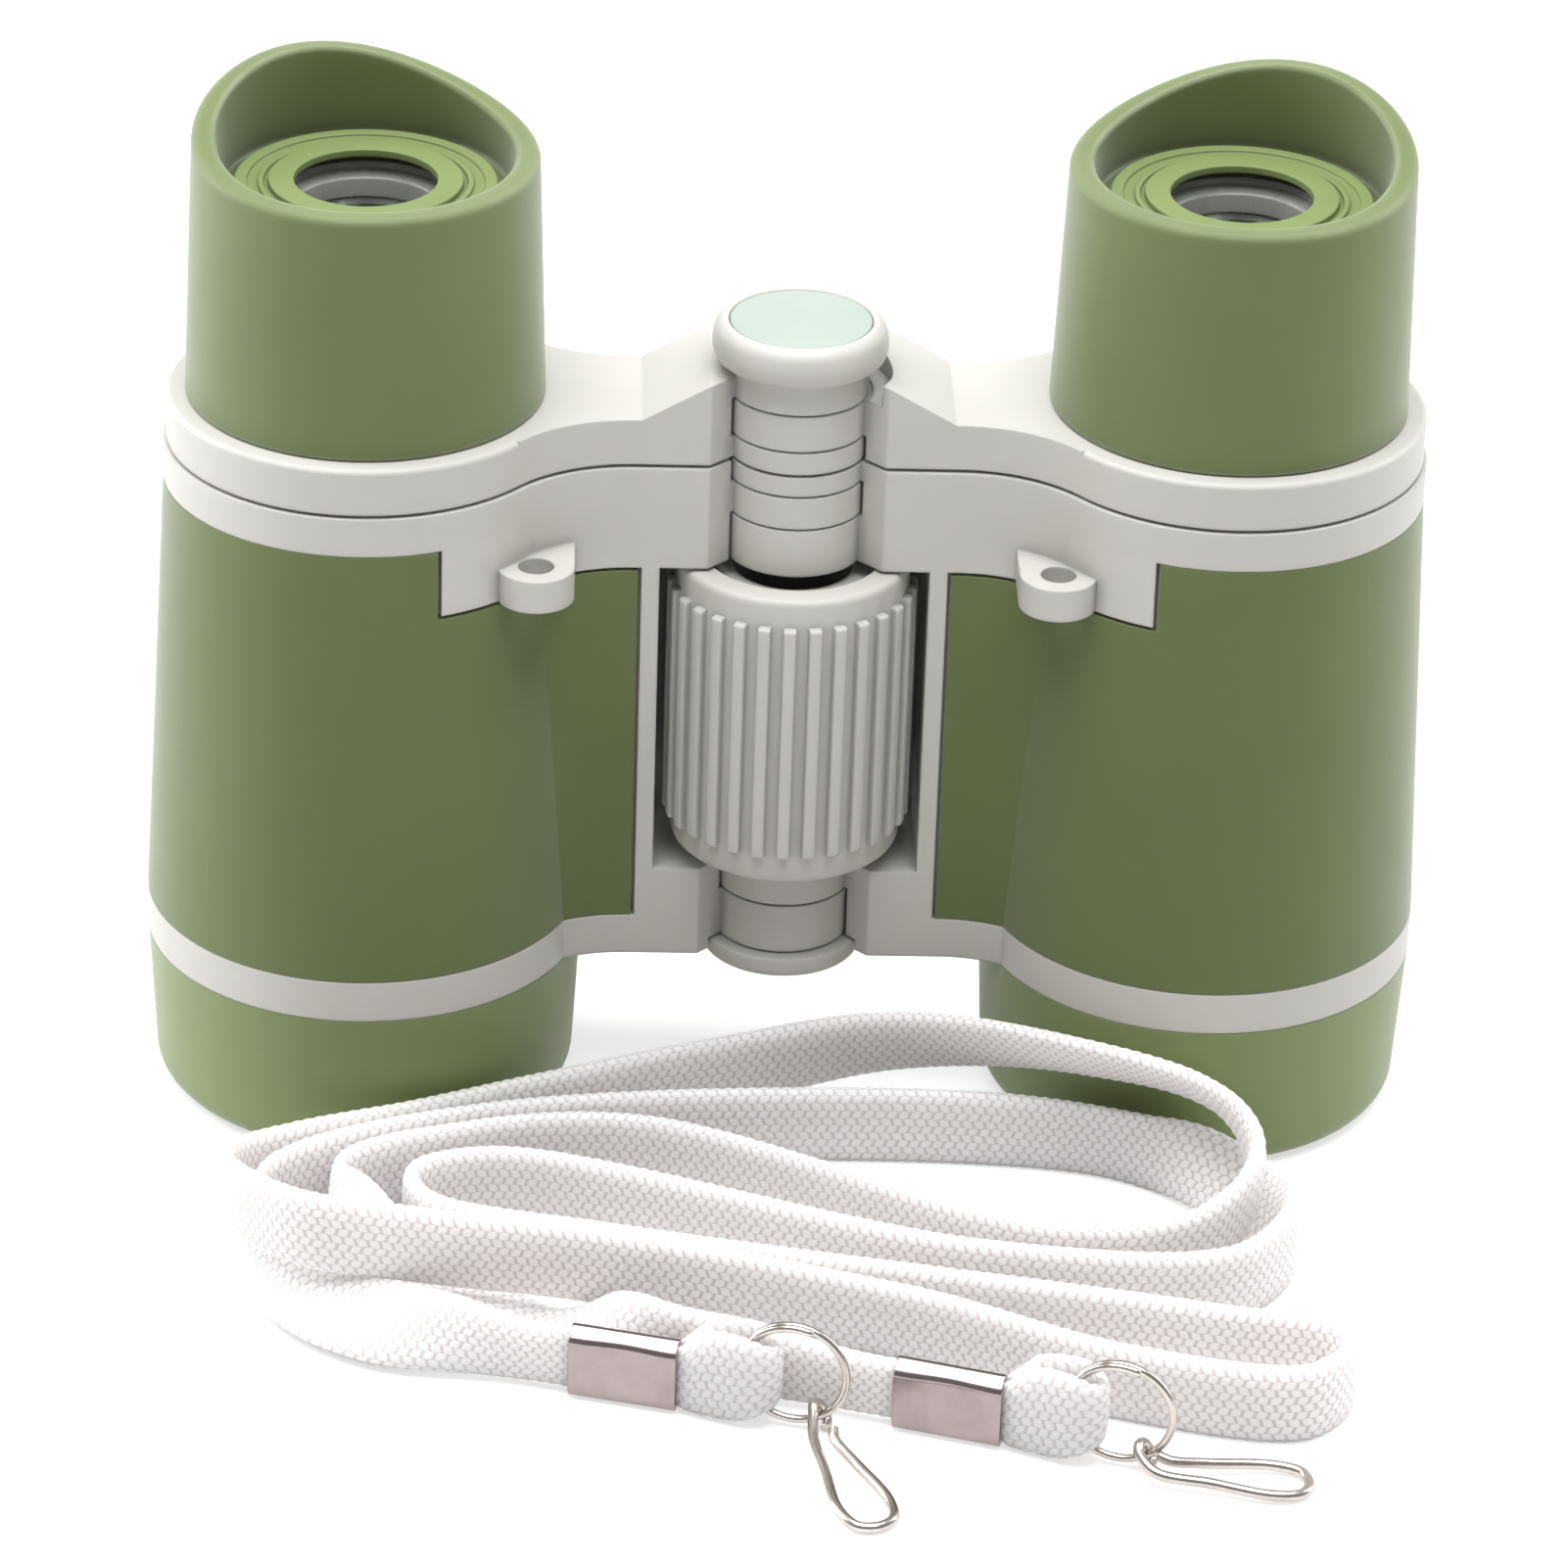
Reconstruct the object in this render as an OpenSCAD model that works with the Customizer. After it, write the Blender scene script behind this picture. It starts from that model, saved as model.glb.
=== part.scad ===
// Toy binoculars standing on their objective ends: two tapered barrels on an
// interleaved centre hinge, a ribbed focus wheel that lifts the eyepiece bridge,
// winged eyecups and a loose flat neck strap. Sizes are in millimetres.
// The origin lies on the floor, midway between the two optical axes. The optical
// axes run along +Z and the face with the strap lugs looks along -Y.

/* [Overall] */
// Distance between the optical axes with the barrels opened flat
axis_spacing = 72; // [70:0.5:76]
// Distance of the hinge axis in front of the plane of the optical axes
hinge_offset = 1.7; // [1:0.1:2.4]

/* [Objective rim] */
// Height of the green rim below the grey band
rim_h = 14.1; // [13:0.1:16]
// Narrowing of the rim from the grey band to its rounded foot
rim_taper = 0.6; // [0.1:0.1:0.9]
// Radius of the rounded foot
rim_round_r = 2.6; // [1.5:0.1:3]
// Width of the lip round the open mouth
rim_lip_w = 3.8; // [3.5:0.1:4.6]
// Height of the spigot that plugs into the barrel
spigot_h = 5; // [3:0.5:7]
// Wall of the spigot
spigot_wall = 0.9; // [0.7:0.1:1.2]

/* [Objective lens] */
// Width of the ledge that carries the objective lens
lens_ledge = 0.7; // [0.4:0.1:1]
// Height of the lens seat above the floor
lens_seat_z = 4.6; // [4:0.1:6]
// Thickness of the lens at its edge
lens_edge_t = 2.2; // [1.6:0.1:3]
// Bulge of the lens
lens_bulge = 1.4; // [0.8:0.1:2]
// Height of the ring that holds the lens
lens_ring_h = 2; // [1.5:0.1:3]
// Radial width of that ring
lens_ring_w = 1.4; // [1:0.1:2]

/* [Barrel] */
// Outer radius of the body at the top flange
barrel_top_r = 16.9; // [16.6:0.1:17.4]
// Widening of the body from the top flange to the lower band
barrel_flare = 1.8; // [1.4:0.1:2.3]
// Room round the sliding tube in the barrel
tube_play = 1; // [0.7:0.1:1.2]
// Height of the grey band
band_h = 3.7; // [3:0.1:4.5]
// Height of the green grip
grip_h = 39; // [38:0.5:41]
// Height of the top flange
flange_h = 3.3; // [2.8:0.1:4]
// Thickness of the grip
grip_t = 1; // [0.8:0.1:1.2]

/* [Web and window] */
// Depth of the web in front of the plane of the optical axes
web_front = 6.2; // [5.8:0.1:6.8]
// Depth of the web behind the plane of the optical axes
web_back = 7.3; // [6.8:0.1:8]
// Radius of the hollow curve between web and barrel
web_fillet_r = 12; // [10:0.5:14]
// Distance from the hinge at which the web's faces start to slant
hub_flat_x = 7.3; // [7:0.1:8]
// Width of the upright bar beside the focus wheel
bar_w = 1.5; // [1.2:0.1:2]
// Half the width of the opening behind the focus wheel
back_open_x = 7.8; // [7.6:0.1:8.4]
// Thickness of the wall on both sides of that opening
back_wall_t = 1.5; // [1.2:0.1:2]
// Height of the apron below the top flange
apron_h = 5.8; // [5.3:0.1:6.3]
// Distance of the apron's outer edge from the hinge
apron_reach = 29.3; // [27:0.1:31]

/* [Strap lug] */
// Place of the lug round the hollow curve of the apron, in degrees
lug_turn = 42.12; // [38:0.01:48]
// Distance of the hole's centre in front of the apron
lug_stand = 2.6; // [2.3:0.1:3.2]
// Radius of the lug's round nose
lug_r = 3.2; // [2.8:0.1:3.6]
// Radius of the hole
lug_hole_r = 1.5; // [1.2:0.1:1.7]
// Height of the lug
lug_h = 2.8; // [2.2:0.1:3.4]

/* [Hinge] */
// Radius of the knuckles above the wheel
knuckle_r = 5.8; // [5.5:0.1:6.1]
// Radius of the knuckles below the wheel
low_knuckle_r = 5.8; // [5.4:0.1:6]
// Radius of the focus screw and of the pivot pin
pin_r = 3; // [2.6:0.1:3.4]
// Height of the left half's lower knuckle
low_left_h = 4.6; // [4:0.1:5]
// Height of the right half's lower knuckle
low_right_h = 3.8; // [3.4:0.1:4.6]
// Height of the right half's knuckle next above the wheel
mid_right_h = 4.2; // [3.6:0.1:4.6]
// Height of the left half's upper knuckle
mid_left_h = 2.8; // [2.4:0.1:3.2]
// Height of the left arm's lower knuckle
arm_low_h = 1.9; // [1.5:0.1:2.4]
// Height of the right arm's knuckle
arm_mid_h = 3.1; // [2.6:0.1:3.6]
// Height of the left arm's upper knuckle
arm_top_h = 3; // [2.6:0.1:3.4]
// Radius of the cap under the hinge
pivot_cap_r = 6.9; // [6.5:0.1:7.2]
// Height of the cap under the hinge
pivot_cap_h = 1.8; // [1.5:0.1:2.2]
// Drop of that cap below the web
pivot_cap_drop = 1; // [0.6:0.1:1.3]
// Radius of the hub cap on top of the hinge
hub_cap_r = 7.4; // [7:0.1:7.8]
// Height of the hub cap
hub_cap_h = 3.2; // [2.8:0.1:3.8]
// Radius of the disc in the hub cap
hub_disc_r = 5.9; // [5.4:0.1:6.1]
// Thickness of that disc
hub_disc_t = 0.5; // [0.4:0.1:0.8]

/* [Focus wheel] */
// Radius of the wheel over its ribs
wheel_r = 10.6; // [10.3:0.1:11]
// Height of the rib tips above the drum
rib_t = 0.7; // [0.5:0.1:0.9]
// Width of a rib
rib_w = 1.1; // [0.9:0.1:1.3]
// Number of ribs
rib_count = 30; // [24:1:34]
// Plain collar above the ribs
collar_h = 2.4; // [2:0.1:3]
// Plain collar below the ribs
low_collar_h = 2.8; // [2.4:0.1:3.4]
// Gap between the ribs and the bars
wheel_side_gap = 0.7; // [0.5:0.1:1]
// Outer radius of the focus nut
nut_r = 5; // [4.6:0.1:5.4]
// Depth of the focus nut below the top of the wheel
nut_drop = 4.5; // [3.5:0.5:7]
// Length of the pivot pin inside the wheel
axle_h = 6; // [5:0.5:7]

/* [Bridge] */
// Height of the eyepiece plate
plate_h = 4; // [3.6:0.1:4.6]
// Setback of the plate's outline from the flange
plate_inset = 0.3; // [0.2:0.05:0.5]
// Rounding of the plate's upper edge
plate_round = 0.4; // [0.3:0.1:0.8]
// Height of the ramp at the hub above the plate
ramp_h = 3.2; // [2.6:0.1:3.5]
// Distance from the hinge at which the ramp starts
ramp_x = 13; // [12:0.5:14.5]
// Wall of the top flange round the tube that slides in it
flange_wall = 3.6; // [3.4:0.1:3.8]
// Length of that tube below the plate
tube_h = 12; // [10:0.5:14]
// Focus travel of the bridge
focus_travel = 5; // [4:0.5:6]

/* [Eyepiece] */
// Width of the plate's ledge outside the eyecup
cup_ledge = 1.6; // [1.3:0.1:1.9]
// Narrowing of the eyecup from its foot to its rim
cup_taper = 0.7; // [0.4:0.1:1]
// Height of the eyecup at its low front rim
cup_h = 21; // [20.4:0.1:22]
// Height of the wing above the low rim
wing_h = 4.6; // [3.5:0.1:5.5]
// Direction of the wing, turned outwards from the back, in degrees
wing_turn = 28; // [0:1:45]
// Wall of the eyecup at its rim
cup_wall = 2; // [1.8:0.1:2.3]
// Wall of the eyecup at its foot, round the neck
cup_foot_wall = 2.6; // [2.4:0.1:2.8]
// Wall of the neck
neck_wall = 1.8; // [1.5:0.1:2.1]
// Height of the neck above the plate
neck_h = 17.1; // [16.6:0.1:17.4]
// Setback of the eyepiece disc from the eyecup's mouth
disc_inset = 1.5; // [1.3:0.1:1.7]
// Thickness of the eyepiece disc
disc_t = 1.4; // [1.2:0.1:1.8]
// Width of the eyepiece disc round the eye hole
disc_w = 4.9; // [4.6:0.1:5.3]
// Width of the flange on the dark tube behind the eye hole
cell_rim_w = 2.6; // [2.2:0.1:2.9]
// Length of that tube
cell_h = 9; // [8:0.5:11]
// Wall of the dark tube round the eyepiece lens
cell_wall = 1.4; // [1.1:0.1:1.6]
// Thickness of the eyepiece lens at its edge
eye_lens_t = 2.4; // [2:0.1:3]

/* [Neck strap] */
// Width of the strap
strap_w = 7; // [6:0.5:7.5]
// Thickness of the strap
strap_t = 1.6; // [1.2:0.1:1.8]
// Width that the strap is drawn in to by its crimps
crimp_hold_w = 5.4; // [4.8:0.1:5.8]
// Length of a crimp
crimp_l = 9; // [7:0.5:10]
// Wall of a crimp
crimp_wall = 0.45; // [0.3:0.05:0.6]
// Length of the folded strap end beyond its crimp
loop_l = 8.5; // [8:0.5:10]
// Height of the bulged strap end beyond its crimp
loop_h = 8.4; // [7.5:0.1:8.6]
// Radius of a split ring, to the middle of its wire
ring_r = 4.3; // [4:0.1:4.6]
// Radius of the ring's wire
ring_wire_r = 0.4; // [0.3:0.05:0.45]
// Radius of the hook's wire
hook_wire_r = 0.45; // [0.35:0.05:0.5]
// Length of a hook
hook_l = 13.5; // [12:0.5:16]
// Radius of the hook's round end
hook_end_r = 2.2; // [1.8:0.1:2.6]

/* [Hidden] */
$fn = 96;

GREEN = "#84996a";
GREY = "#d8d7d2";
MINT = "#dcefe0";
WHITE = "#f3f1ee";
NICKEL = "#b7b2ac";
DARK = "#4c4e4e";
GLASS = "#a9c6cf";

// Clearances
// Seat between pieces that are fixed together
seat_gap = 0.05;
// Round pieces that turn in or on each other
running_gap = 0.06;
// Sliding tube in its guide
slide_gap = 0.1;
// Knuckles and the hollows that they turn in
turn_gap = 0.35;
// End faces of stacked knuckles
stack_gap = 0.2;
// Faces above and below the focus wheel
wheel_end_gap = 0.3;
// Seam between body and bridge
seam_gap = 0.3;
// Groove round the edge of the grip
groove = 0.3;
// Cutters run past the faces that they cut by this much
eps = 0.5;

axis_x = axis_spacing / 2;
hinge_y = -hinge_offset;

// Radii of the sliding tube and of the light path
tube_r = barrel_top_r - flange_wall - slide_gap;
barrel_bore_r = tube_r + tube_play;

// Radii of the objective end
barrel_low_r = barrel_top_r + barrel_flare;
rim_foot_r = barrel_low_r - rim_taper;
rim_mouth_r = rim_foot_r - rim_lip_w;
lens_r = rim_mouth_r + lens_ledge;

// Radii of the eyepiece, from the plate inwards
plate_r = barrel_top_r - plate_inset;
cup_low_r = plate_r - cup_ledge;
cup_top_r = cup_low_r - cup_taper;
cup_mouth_r = cup_top_r - cup_wall;
neck_r = cup_low_r - cup_foot_wall;
neck_bore_r = neck_r - neck_wall;
disc_r = cup_mouth_r - disc_inset;
eye_hole_r = disc_r - disc_w;
cell_r = neck_bore_r - cell_rim_w;
eye_lens_r = cell_r - cell_wall;

// Cutters that run through the whole depth of the body are this deep
body_span = axis_spacing;

// Heights of the barrel
z_band = rim_h;
z_grip = z_band + band_h;
z_flange = z_grip + grip_h;
z_seam = z_flange + flange_h;
z_plate = z_seam + seam_gap;
z_cup = z_plate + plate_h;
z_neck = z_cup + neck_h;
z_disc = z_neck + disc_t;
z_rim = z_cup + cup_h;

// Heights of the hinge, from the floor upwards
z_pivot = z_band - pivot_cap_drop;
z_low_left = z_pivot + pivot_cap_h;
z_low_right = z_low_left + low_left_h + stack_gap;
z_wheel = z_low_right + low_right_h + wheel_end_gap;
z_sill = z_wheel - 2 * wheel_end_gap - 0.8;
z_apron = z_flange - apron_h;
z_mid_left = z_apron + mid_right_h + stack_gap;
z_top_right = z_mid_left + mid_left_h + stack_gap;
z_arm_mid = z_plate + arm_low_h + stack_gap;
z_arm_top = z_arm_mid + arm_mid_h + stack_gap;
z_hub = z_arm_top + arm_top_h;
z_ramp = z_cup + ramp_h;
z_screw = z_wheel + axle_h + 1;

bar_x = wheel_r + wheel_side_gap;
grip_x = bar_x + bar_w;
hub_tip_x = 4;
drum_r = wheel_r - rib_t;
wheel_h = z_apron - wheel_end_gap - z_wheel;
nut_z = axle_h + 0.6;
nut_h = wheel_h - nut_drop - nut_z;

// Centres of the hollow curves between web and barrel
fillet_reach = barrel_top_r + web_fillet_r;
front_fillet = [
    axis_x - sqrt(pow(fillet_reach, 2) - pow(web_front + web_fillet_r, 2)),
    -(web_front + web_fillet_r)
];
back_fillet = [
    axis_x - sqrt(pow(fillet_reach, 2) - pow(web_back + web_fillet_r, 2)),
    web_back + web_fillet_r
];

function barrel_r(z) = barrel_low_r + (barrel_top_r - barrel_low_r)
    * min(1, max(0, (z - z_grip) / grip_h));

// Point where a hollow curve meets the barrel
function touch(c) = [axis_x, 0] + (c - [axis_x, 0]) * barrel_top_r / fillet_reach;

// Centre of the lug's hole, in front of the hollow curve
lug_at = front_fillet + web_fillet_r * [sin(lug_turn), cos(lug_turn)] - [0, lug_stand];

// Children drawn for the right half, or mirrored for the left half
module side(s) {
    if (s < 0) mirror([1, 0, 0]) children();
    else children();
}

module on_axis(z = 0) {
    translate([axis_x, 0, z]) children();
}

module on_hinge(z = 0) {
    translate([0, hinge_y, z]) children();
}

// Web between hinge and barrel, drawn in by inset and ending at the hub or at a bar
module web(z0, z1, inset, hub, x_end = 0) {
    front = web_front - inset;
    back = web_back - inset;
    slant = hub_flat_x - hub_tip_x;
    tip_x = hub ? hub_flat_x : x_end;
    tip = hub
        ? [[hub_flat_x, back], [hub_tip_x, back - slant], [hub_tip_x, slant - front], [hub_flat_x, -front]]
        : [[x_end, back], [x_end, -front]];
    outer = [
        [max(tip_x, front_fillet[0]), -front], touch(front_fillet), [axis_x, 0], touch(back_fillet),
        [max(tip_x, back_fillet[0]), back]
    ];
    difference() {
        translate([0, 0, z0]) linear_extrude(z1 - z0) polygon(concat(outer, tip));
        for (c = [front_fillet, back_fillet])
            translate([c[0], c[1], z0 - eps]) cylinder(r = web_fillet_r + inset, h = z1 - z0 + 2 * eps);
    }
}

// Barrel with its web between two heights
module body_form(z0, z1, inset, hub, x_end = 0) {
    on_axis(z0) cylinder(r1 = barrel_r(z0) - inset, r2 = barrel_r(z1) - inset, h = z1 - z0);
    web(z0, z1, inset, hub, x_end);
}

// Everything nearer to the hinge than x
module inside_of(x, z0, z1) {
    translate([0, -body_span / 2, z0]) cube([x, body_span, z1 - z0]);
}

module knuckle(r, z0, h) {
    on_hinge(z0) cylinder(r = r, h = h);
}

module strap_lug() {
    translate([lug_at[0], lug_at[1], z_apron]) {
        cylinder(r = lug_r, h = lug_h);
        translate([-lug_r, 0, 0]) cube([2 * lug_r, lug_stand + lug_r, lug_h]);
    }
}

// Moulded frame of one half: band, core, bar, sill, apron, flange, back wall, lug and its knuckles
module frame(own, other) {
    difference() {
        union() {
            body_form(z_band, z_grip, 0, true);
            body_form(z_grip, z_flange, grip_t + seat_gap, false, bar_x);
            intersection() {
                body_form(z_grip, z_flange, 0, false, bar_x);
                inside_of(grip_x, z_grip, z_flange);
            }
            intersection() {
                web(z_grip, z_sill, 0, true);
                inside_of(grip_x, z_grip, z_sill);
            }
            intersection() {
                body_form(z_apron, z_flange, 0, true);
                inside_of(apron_reach, z_apron, z_flange);
            }
            body_form(z_flange, z_seam, 0, true);
            translate([back_open_x, web_back - back_wall_t, z_sill])
                cube([grip_x - back_open_x, back_wall_t, z_apron - z_sill]);
            strap_lug();
            for (k = own) knuckle(k[0], k[1], k[2]);
        }
        for (k = other) knuckle(k[0] + turn_gap, k[1] - stack_gap, k[2] + 2 * stack_gap);
        knuckle(wheel_r + turn_gap, z_sill, z_apron - z_sill);
        knuckle(pin_r + running_gap, 0, z_seam + eps);
        on_axis(z_band - eps) cylinder(r = lens_r + spigot_wall + 2 * seat_gap, h = spigot_h + 2 * eps);
        on_axis(z_band) cylinder(r = barrel_bore_r, h = z_flange - z_band);
        on_axis(z_flange - eps) cylinder(r = tube_r + slide_gap, h = flange_h + 2 * eps);
        translate([lug_at[0], lug_at[1], z_apron - eps]) cylinder(r = lug_hole_r, h = lug_h + 2 * eps);
    }
}

// Knuckles as [radius, height of the lower face, height]
left_body_knuckles = [
    [low_knuckle_r, z_low_left, low_left_h],
    [knuckle_r, z_mid_left, mid_left_h]
];
right_body_knuckles = [
    [low_knuckle_r, z_low_right, low_right_h],
    [knuckle_r, z_apron, mid_right_h],
    [knuckle_r, z_top_right, z_seam - z_top_right]
];
pivot_cap_room = [pivot_cap_r, z_pivot, pivot_cap_h];

module left_frame() {
    color(GREY) side(-1) frame(left_body_knuckles, concat(right_body_knuckles, [pivot_cap_room]));
}

module right_frame() {
    color(GREY) side(1) frame(right_body_knuckles, concat(left_body_knuckles, [pivot_cap_room]));
}

// Sleeve over the barrel and the web, notched round the apron
module grip() {
    difference() {
        body_form(z_grip + seat_gap, z_flange - seat_gap, 0, false, grip_x + groove);
        body_form(z_grip - eps, z_flange + eps, grip_t, false, bar_x);
        inside_of(apron_reach + groove, z_apron - groove, z_flange);
    }
}

module left_grip() {
    color(GREEN) side(-1) grip();
}

module right_grip() {
    color(GREEN) side(1) grip();
}

// Rounded nose of the barrel with the lens seat and the spigot
module objective_rim() {
    inner_r = lens_r + seat_gap;
    cone_h = rim_h - rim_round_r - seat_gap;
    slope = (barrel_low_r - rim_foot_r) / (rim_h - rim_round_r);
    difference() {
        on_axis() union() {
            translate([0, 0, rim_round_r])
                cylinder(r1 = rim_foot_r, r2 = rim_foot_r + slope * cone_h, h = cone_h);
            rotate_extrude() translate([rim_foot_r - rim_round_r, rim_round_r]) circle(r = rim_round_r);
            cylinder(r = rim_foot_r - rim_round_r, h = rim_round_r);
            translate([0, 0, rim_h - eps]) cylinder(r = lens_r + spigot_wall, h = spigot_h + eps);
        }
        on_axis(-eps) cylinder(r = rim_mouth_r, h = lens_seat_z + 2 * eps);
        on_axis(lens_seat_z) cylinder(r = inner_r, h = rim_h + spigot_h);
    }
}

module left_objective_rim() {
    color(GREEN) side(-1) objective_rim();
}

module right_objective_rim() {
    color(GREEN) side(1) objective_rim();
}

// Round lens, flat above and crowned below
module objective_lens() {
    crown_r = (pow(rim_mouth_r, 2) + pow(lens_bulge, 2)) / (2 * lens_bulge);
    on_axis(lens_seat_z) union() {
        cylinder(r = lens_r, h = lens_edge_t);
        intersection() {
            translate([0, 0, crown_r - lens_bulge]) sphere(r = crown_r - seat_gap);
            translate([0, 0, -lens_bulge]) cylinder(r = rim_mouth_r - seat_gap, h = lens_bulge + 1);
        }
    }
}

module left_objective_lens() {
    color(GLASS) side(-1) objective_lens();
}

module right_objective_lens() {
    color(GLASS) side(1) objective_lens();
}

module lens_ring() {
    on_axis(lens_seat_z + lens_edge_t) difference() {
        cylinder(r = lens_r, h = lens_ring_h);
        translate([0, 0, -eps]) cylinder(r = lens_r - lens_ring_w, h = lens_ring_h + 2 * eps);
    }
}

module left_lens_ring() {
    color(DARK) side(-1) lens_ring();
}

module right_lens_ring() {
    color(DARK) side(1) lens_ring();
}

// Eyepiece plate with its ramp, knuckles, neck and sliding tube
module bridge_arm(own, other) {
    difference() {
        union() {
            on_axis(z_plate) cylinder(r = plate_r, h = plate_h - plate_round);
            on_axis(z_cup - plate_round) rotate_extrude() {
                square([plate_r - plate_round, plate_round]);
                intersection() {
                    translate([plate_r - plate_round, 0]) circle(r = plate_round);
                    square([plate_r, plate_round]);
                }
            }
            intersection() {
                web(z_plate, z_ramp, plate_inset, true);
                translate([0, body_span / 2, 0]) rotate([90, 0, 0]) linear_extrude(body_span) polygon([
                    [0, z_plate], [axis_x, z_plate], [axis_x, z_cup], [ramp_x, z_cup],
                    [hub_flat_x, z_ramp], [0, z_ramp]
                ]);
            }
            on_axis(z_cup - eps) cylinder(r = neck_r, h = neck_h + eps);
            on_axis(z_plate - tube_h) cylinder(r = tube_r, h = tube_h + eps);
            for (k = own) knuckle(k[0], k[1], k[2]);
        }
        for (k = other) knuckle(k[0] + turn_gap, k[1] - stack_gap, k[2] + 2 * stack_gap);
        knuckle(pin_r + running_gap, z_plate - eps, z_hub);
        on_axis(z_plate - tube_h - eps) cylinder(r = neck_bore_r, h = z_neck);
    }
}

left_arm_knuckles = [[knuckle_r, z_plate, arm_low_h], [knuckle_r, z_arm_top, arm_top_h]];
right_arm_knuckles = [[knuckle_r, z_arm_mid, arm_mid_h]];
hub_cap_room = [hub_cap_r, z_arm_top + stack_gap, z_ramp];

module left_bridge_arm() {
    color(GREY) side(-1) bridge_arm(left_arm_knuckles, right_arm_knuckles);
}

module right_bridge_arm() {
    color(GREY) side(1) bridge_arm(right_arm_knuckles, concat(left_arm_knuckles, [hub_cap_room]));
}

// Cutter that leaves the low rim and lets the wing rise on a hollow curve
module wing_cut() {
    wing_start = -2;
    sweep_r = pow(cup_top_r - wing_start, 2) / (2 * wing_h) + wing_h / 2;
    reach = 2 * cup_low_r;
    on_axis(z_rim) rotate([0, 0, 90 - wing_turn]) union() {
        translate([wing_start - reach, -reach, 0]) cube([reach, 2 * reach, reach]);
        translate([wing_start, 0, sweep_r]) rotate([90, 0, 0])
            cylinder(r = sweep_r, h = 2 * reach, center = true);
    }
}

// Tapered cup on the neck, with a groove left round the eyepiece disc
module eyecup() {
    top = cup_h + wing_h;
    throat_r = cup_mouth_r - 0.4;
    lip_z = neck_h + seat_gap;
    slope = (cup_low_r - cup_top_r) / cup_h;
    difference() {
        on_axis(z_cup) rotate_extrude() polygon([
            [neck_r + seat_gap, seat_gap], [cup_low_r, seat_gap], [cup_low_r - slope * top, top],
            [cup_mouth_r, top], [throat_r, lip_z], [neck_r + seat_gap, lip_z]
        ]);
        wing_cut();
    }
}

module left_eyecup() {
    color(GREEN) side(-1) eyecup();
}

module right_eyecup() {
    color(GREEN) side(1) eyecup();
}

// Stepped disc with a raised ring and a raised middle round the eye hole
module eyepiece_disc() {
    step = 0.3;
    on_axis(z_neck) difference() {
        union() {
            translate([0, 0, seat_gap]) cylinder(r = disc_r, h = disc_t - step);
            cylinder_ring(disc_r - 0.2, disc_r - 1.1, disc_t - step, step);
            translate([0, 0, disc_t - step]) cylinder(r = disc_r - 1.9, h = 2 * step);
        }
        translate([0, 0, -eps]) cylinder(r = eye_hole_r, h = disc_t + 2 * eps);
    }
}

module cylinder_ring(outer, inner, z0, h) {
    translate([0, 0, z0]) difference() {
        cylinder(r = outer, h = h);
        translate([0, 0, -eps]) cylinder(r = inner, h = h + 2 * eps);
    }
}

module left_eyepiece_disc() {
    color(GREEN) side(-1) eyepiece_disc();
}

module right_eyepiece_disc() {
    color(GREEN) side(1) eyepiece_disc();
}

// Dark tube that hangs from the neck's mouth, with rings inside it and the lens seat
module eyepiece_cell() {
    flange = 1.2;
    seat_w = 0.8;
    seat_z = flange + 1.6 + eye_lens_t;
    on_axis(z_neck) difference() {
        union() {
            translate([0, 0, -flange]) cylinder(r = neck_bore_r - seat_gap, h = flange);
            translate([0, 0, -cell_h]) cylinder(r = cell_r, h = cell_h);
        }
        translate([0, 0, -seat_z]) cylinder(r = eye_lens_r + seat_gap, h = seat_z + eps);
        translate([0, 0, -cell_h - eps]) cylinder(r = eye_lens_r - seat_w, h = cell_h);
        for (i = [1:3]) translate([0, 0, -seat_z - 1.2 * i]) cylinder(r = eye_lens_r - seat_w + 0.4, h = 0.6);
    }
}

module left_eyepiece_cell() {
    color(DARK) side(-1) eyepiece_cell();
}

module right_eyepiece_cell() {
    color(DARK) side(1) eyepiece_cell();
}

// Hollow-ground lens on the seat of the dark tube
module eyepiece_lens() {
    hollow = 1;
    hollow_r = (pow(eye_lens_r, 2) + pow(hollow, 2)) / (2 * hollow);
    on_axis(z_neck - 1.2 - 1.6 - eye_lens_t) difference() {
        cylinder(r = eye_lens_r, h = eye_lens_t);
        translate([0, 0, eye_lens_t + hollow_r - hollow]) sphere(r = hollow_r);
    }
}

module left_eyepiece_lens() {
    color(GLASS) side(-1) eyepiece_lens();
}

module right_eyepiece_lens() {
    color(GLASS) side(1) eyepiece_lens();
}

// Rod from the hub cap through both sets of upper knuckles into the focus nut
module focus_screw() {
    color(NICKEL) on_hinge(z_screw) cylinder(r = pin_r, h = z_hub + hub_cap_h / 2 - z_screw);
}

// Domed cap with a recess for its disc and a socket for the screw
module hub_cap() {
    edge = 1.3;
    color(GREY) on_hinge(z_hub) difference() {
        union() {
            cylinder(r = hub_cap_r, h = hub_cap_h - edge);
            cylinder(r = hub_cap_r - edge, h = hub_cap_h);
            translate([0, 0, hub_cap_h - edge]) rotate_extrude() translate([hub_cap_r - edge, 0])
                circle(r = edge);
        }
        translate([0, 0, hub_cap_h - hub_disc_t]) cylinder(r = hub_disc_r + seat_gap, h = hub_disc_t + eps);
        translate([0, 0, -eps]) cylinder(r = pin_r + seat_gap, h = hub_cap_h / 2 + eps);
    }
}

module hub_disc() {
    color(MINT) on_hinge(z_hub + hub_cap_h - hub_disc_t) cylinder(r = hub_disc_r, h = hub_disc_t);
}

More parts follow.
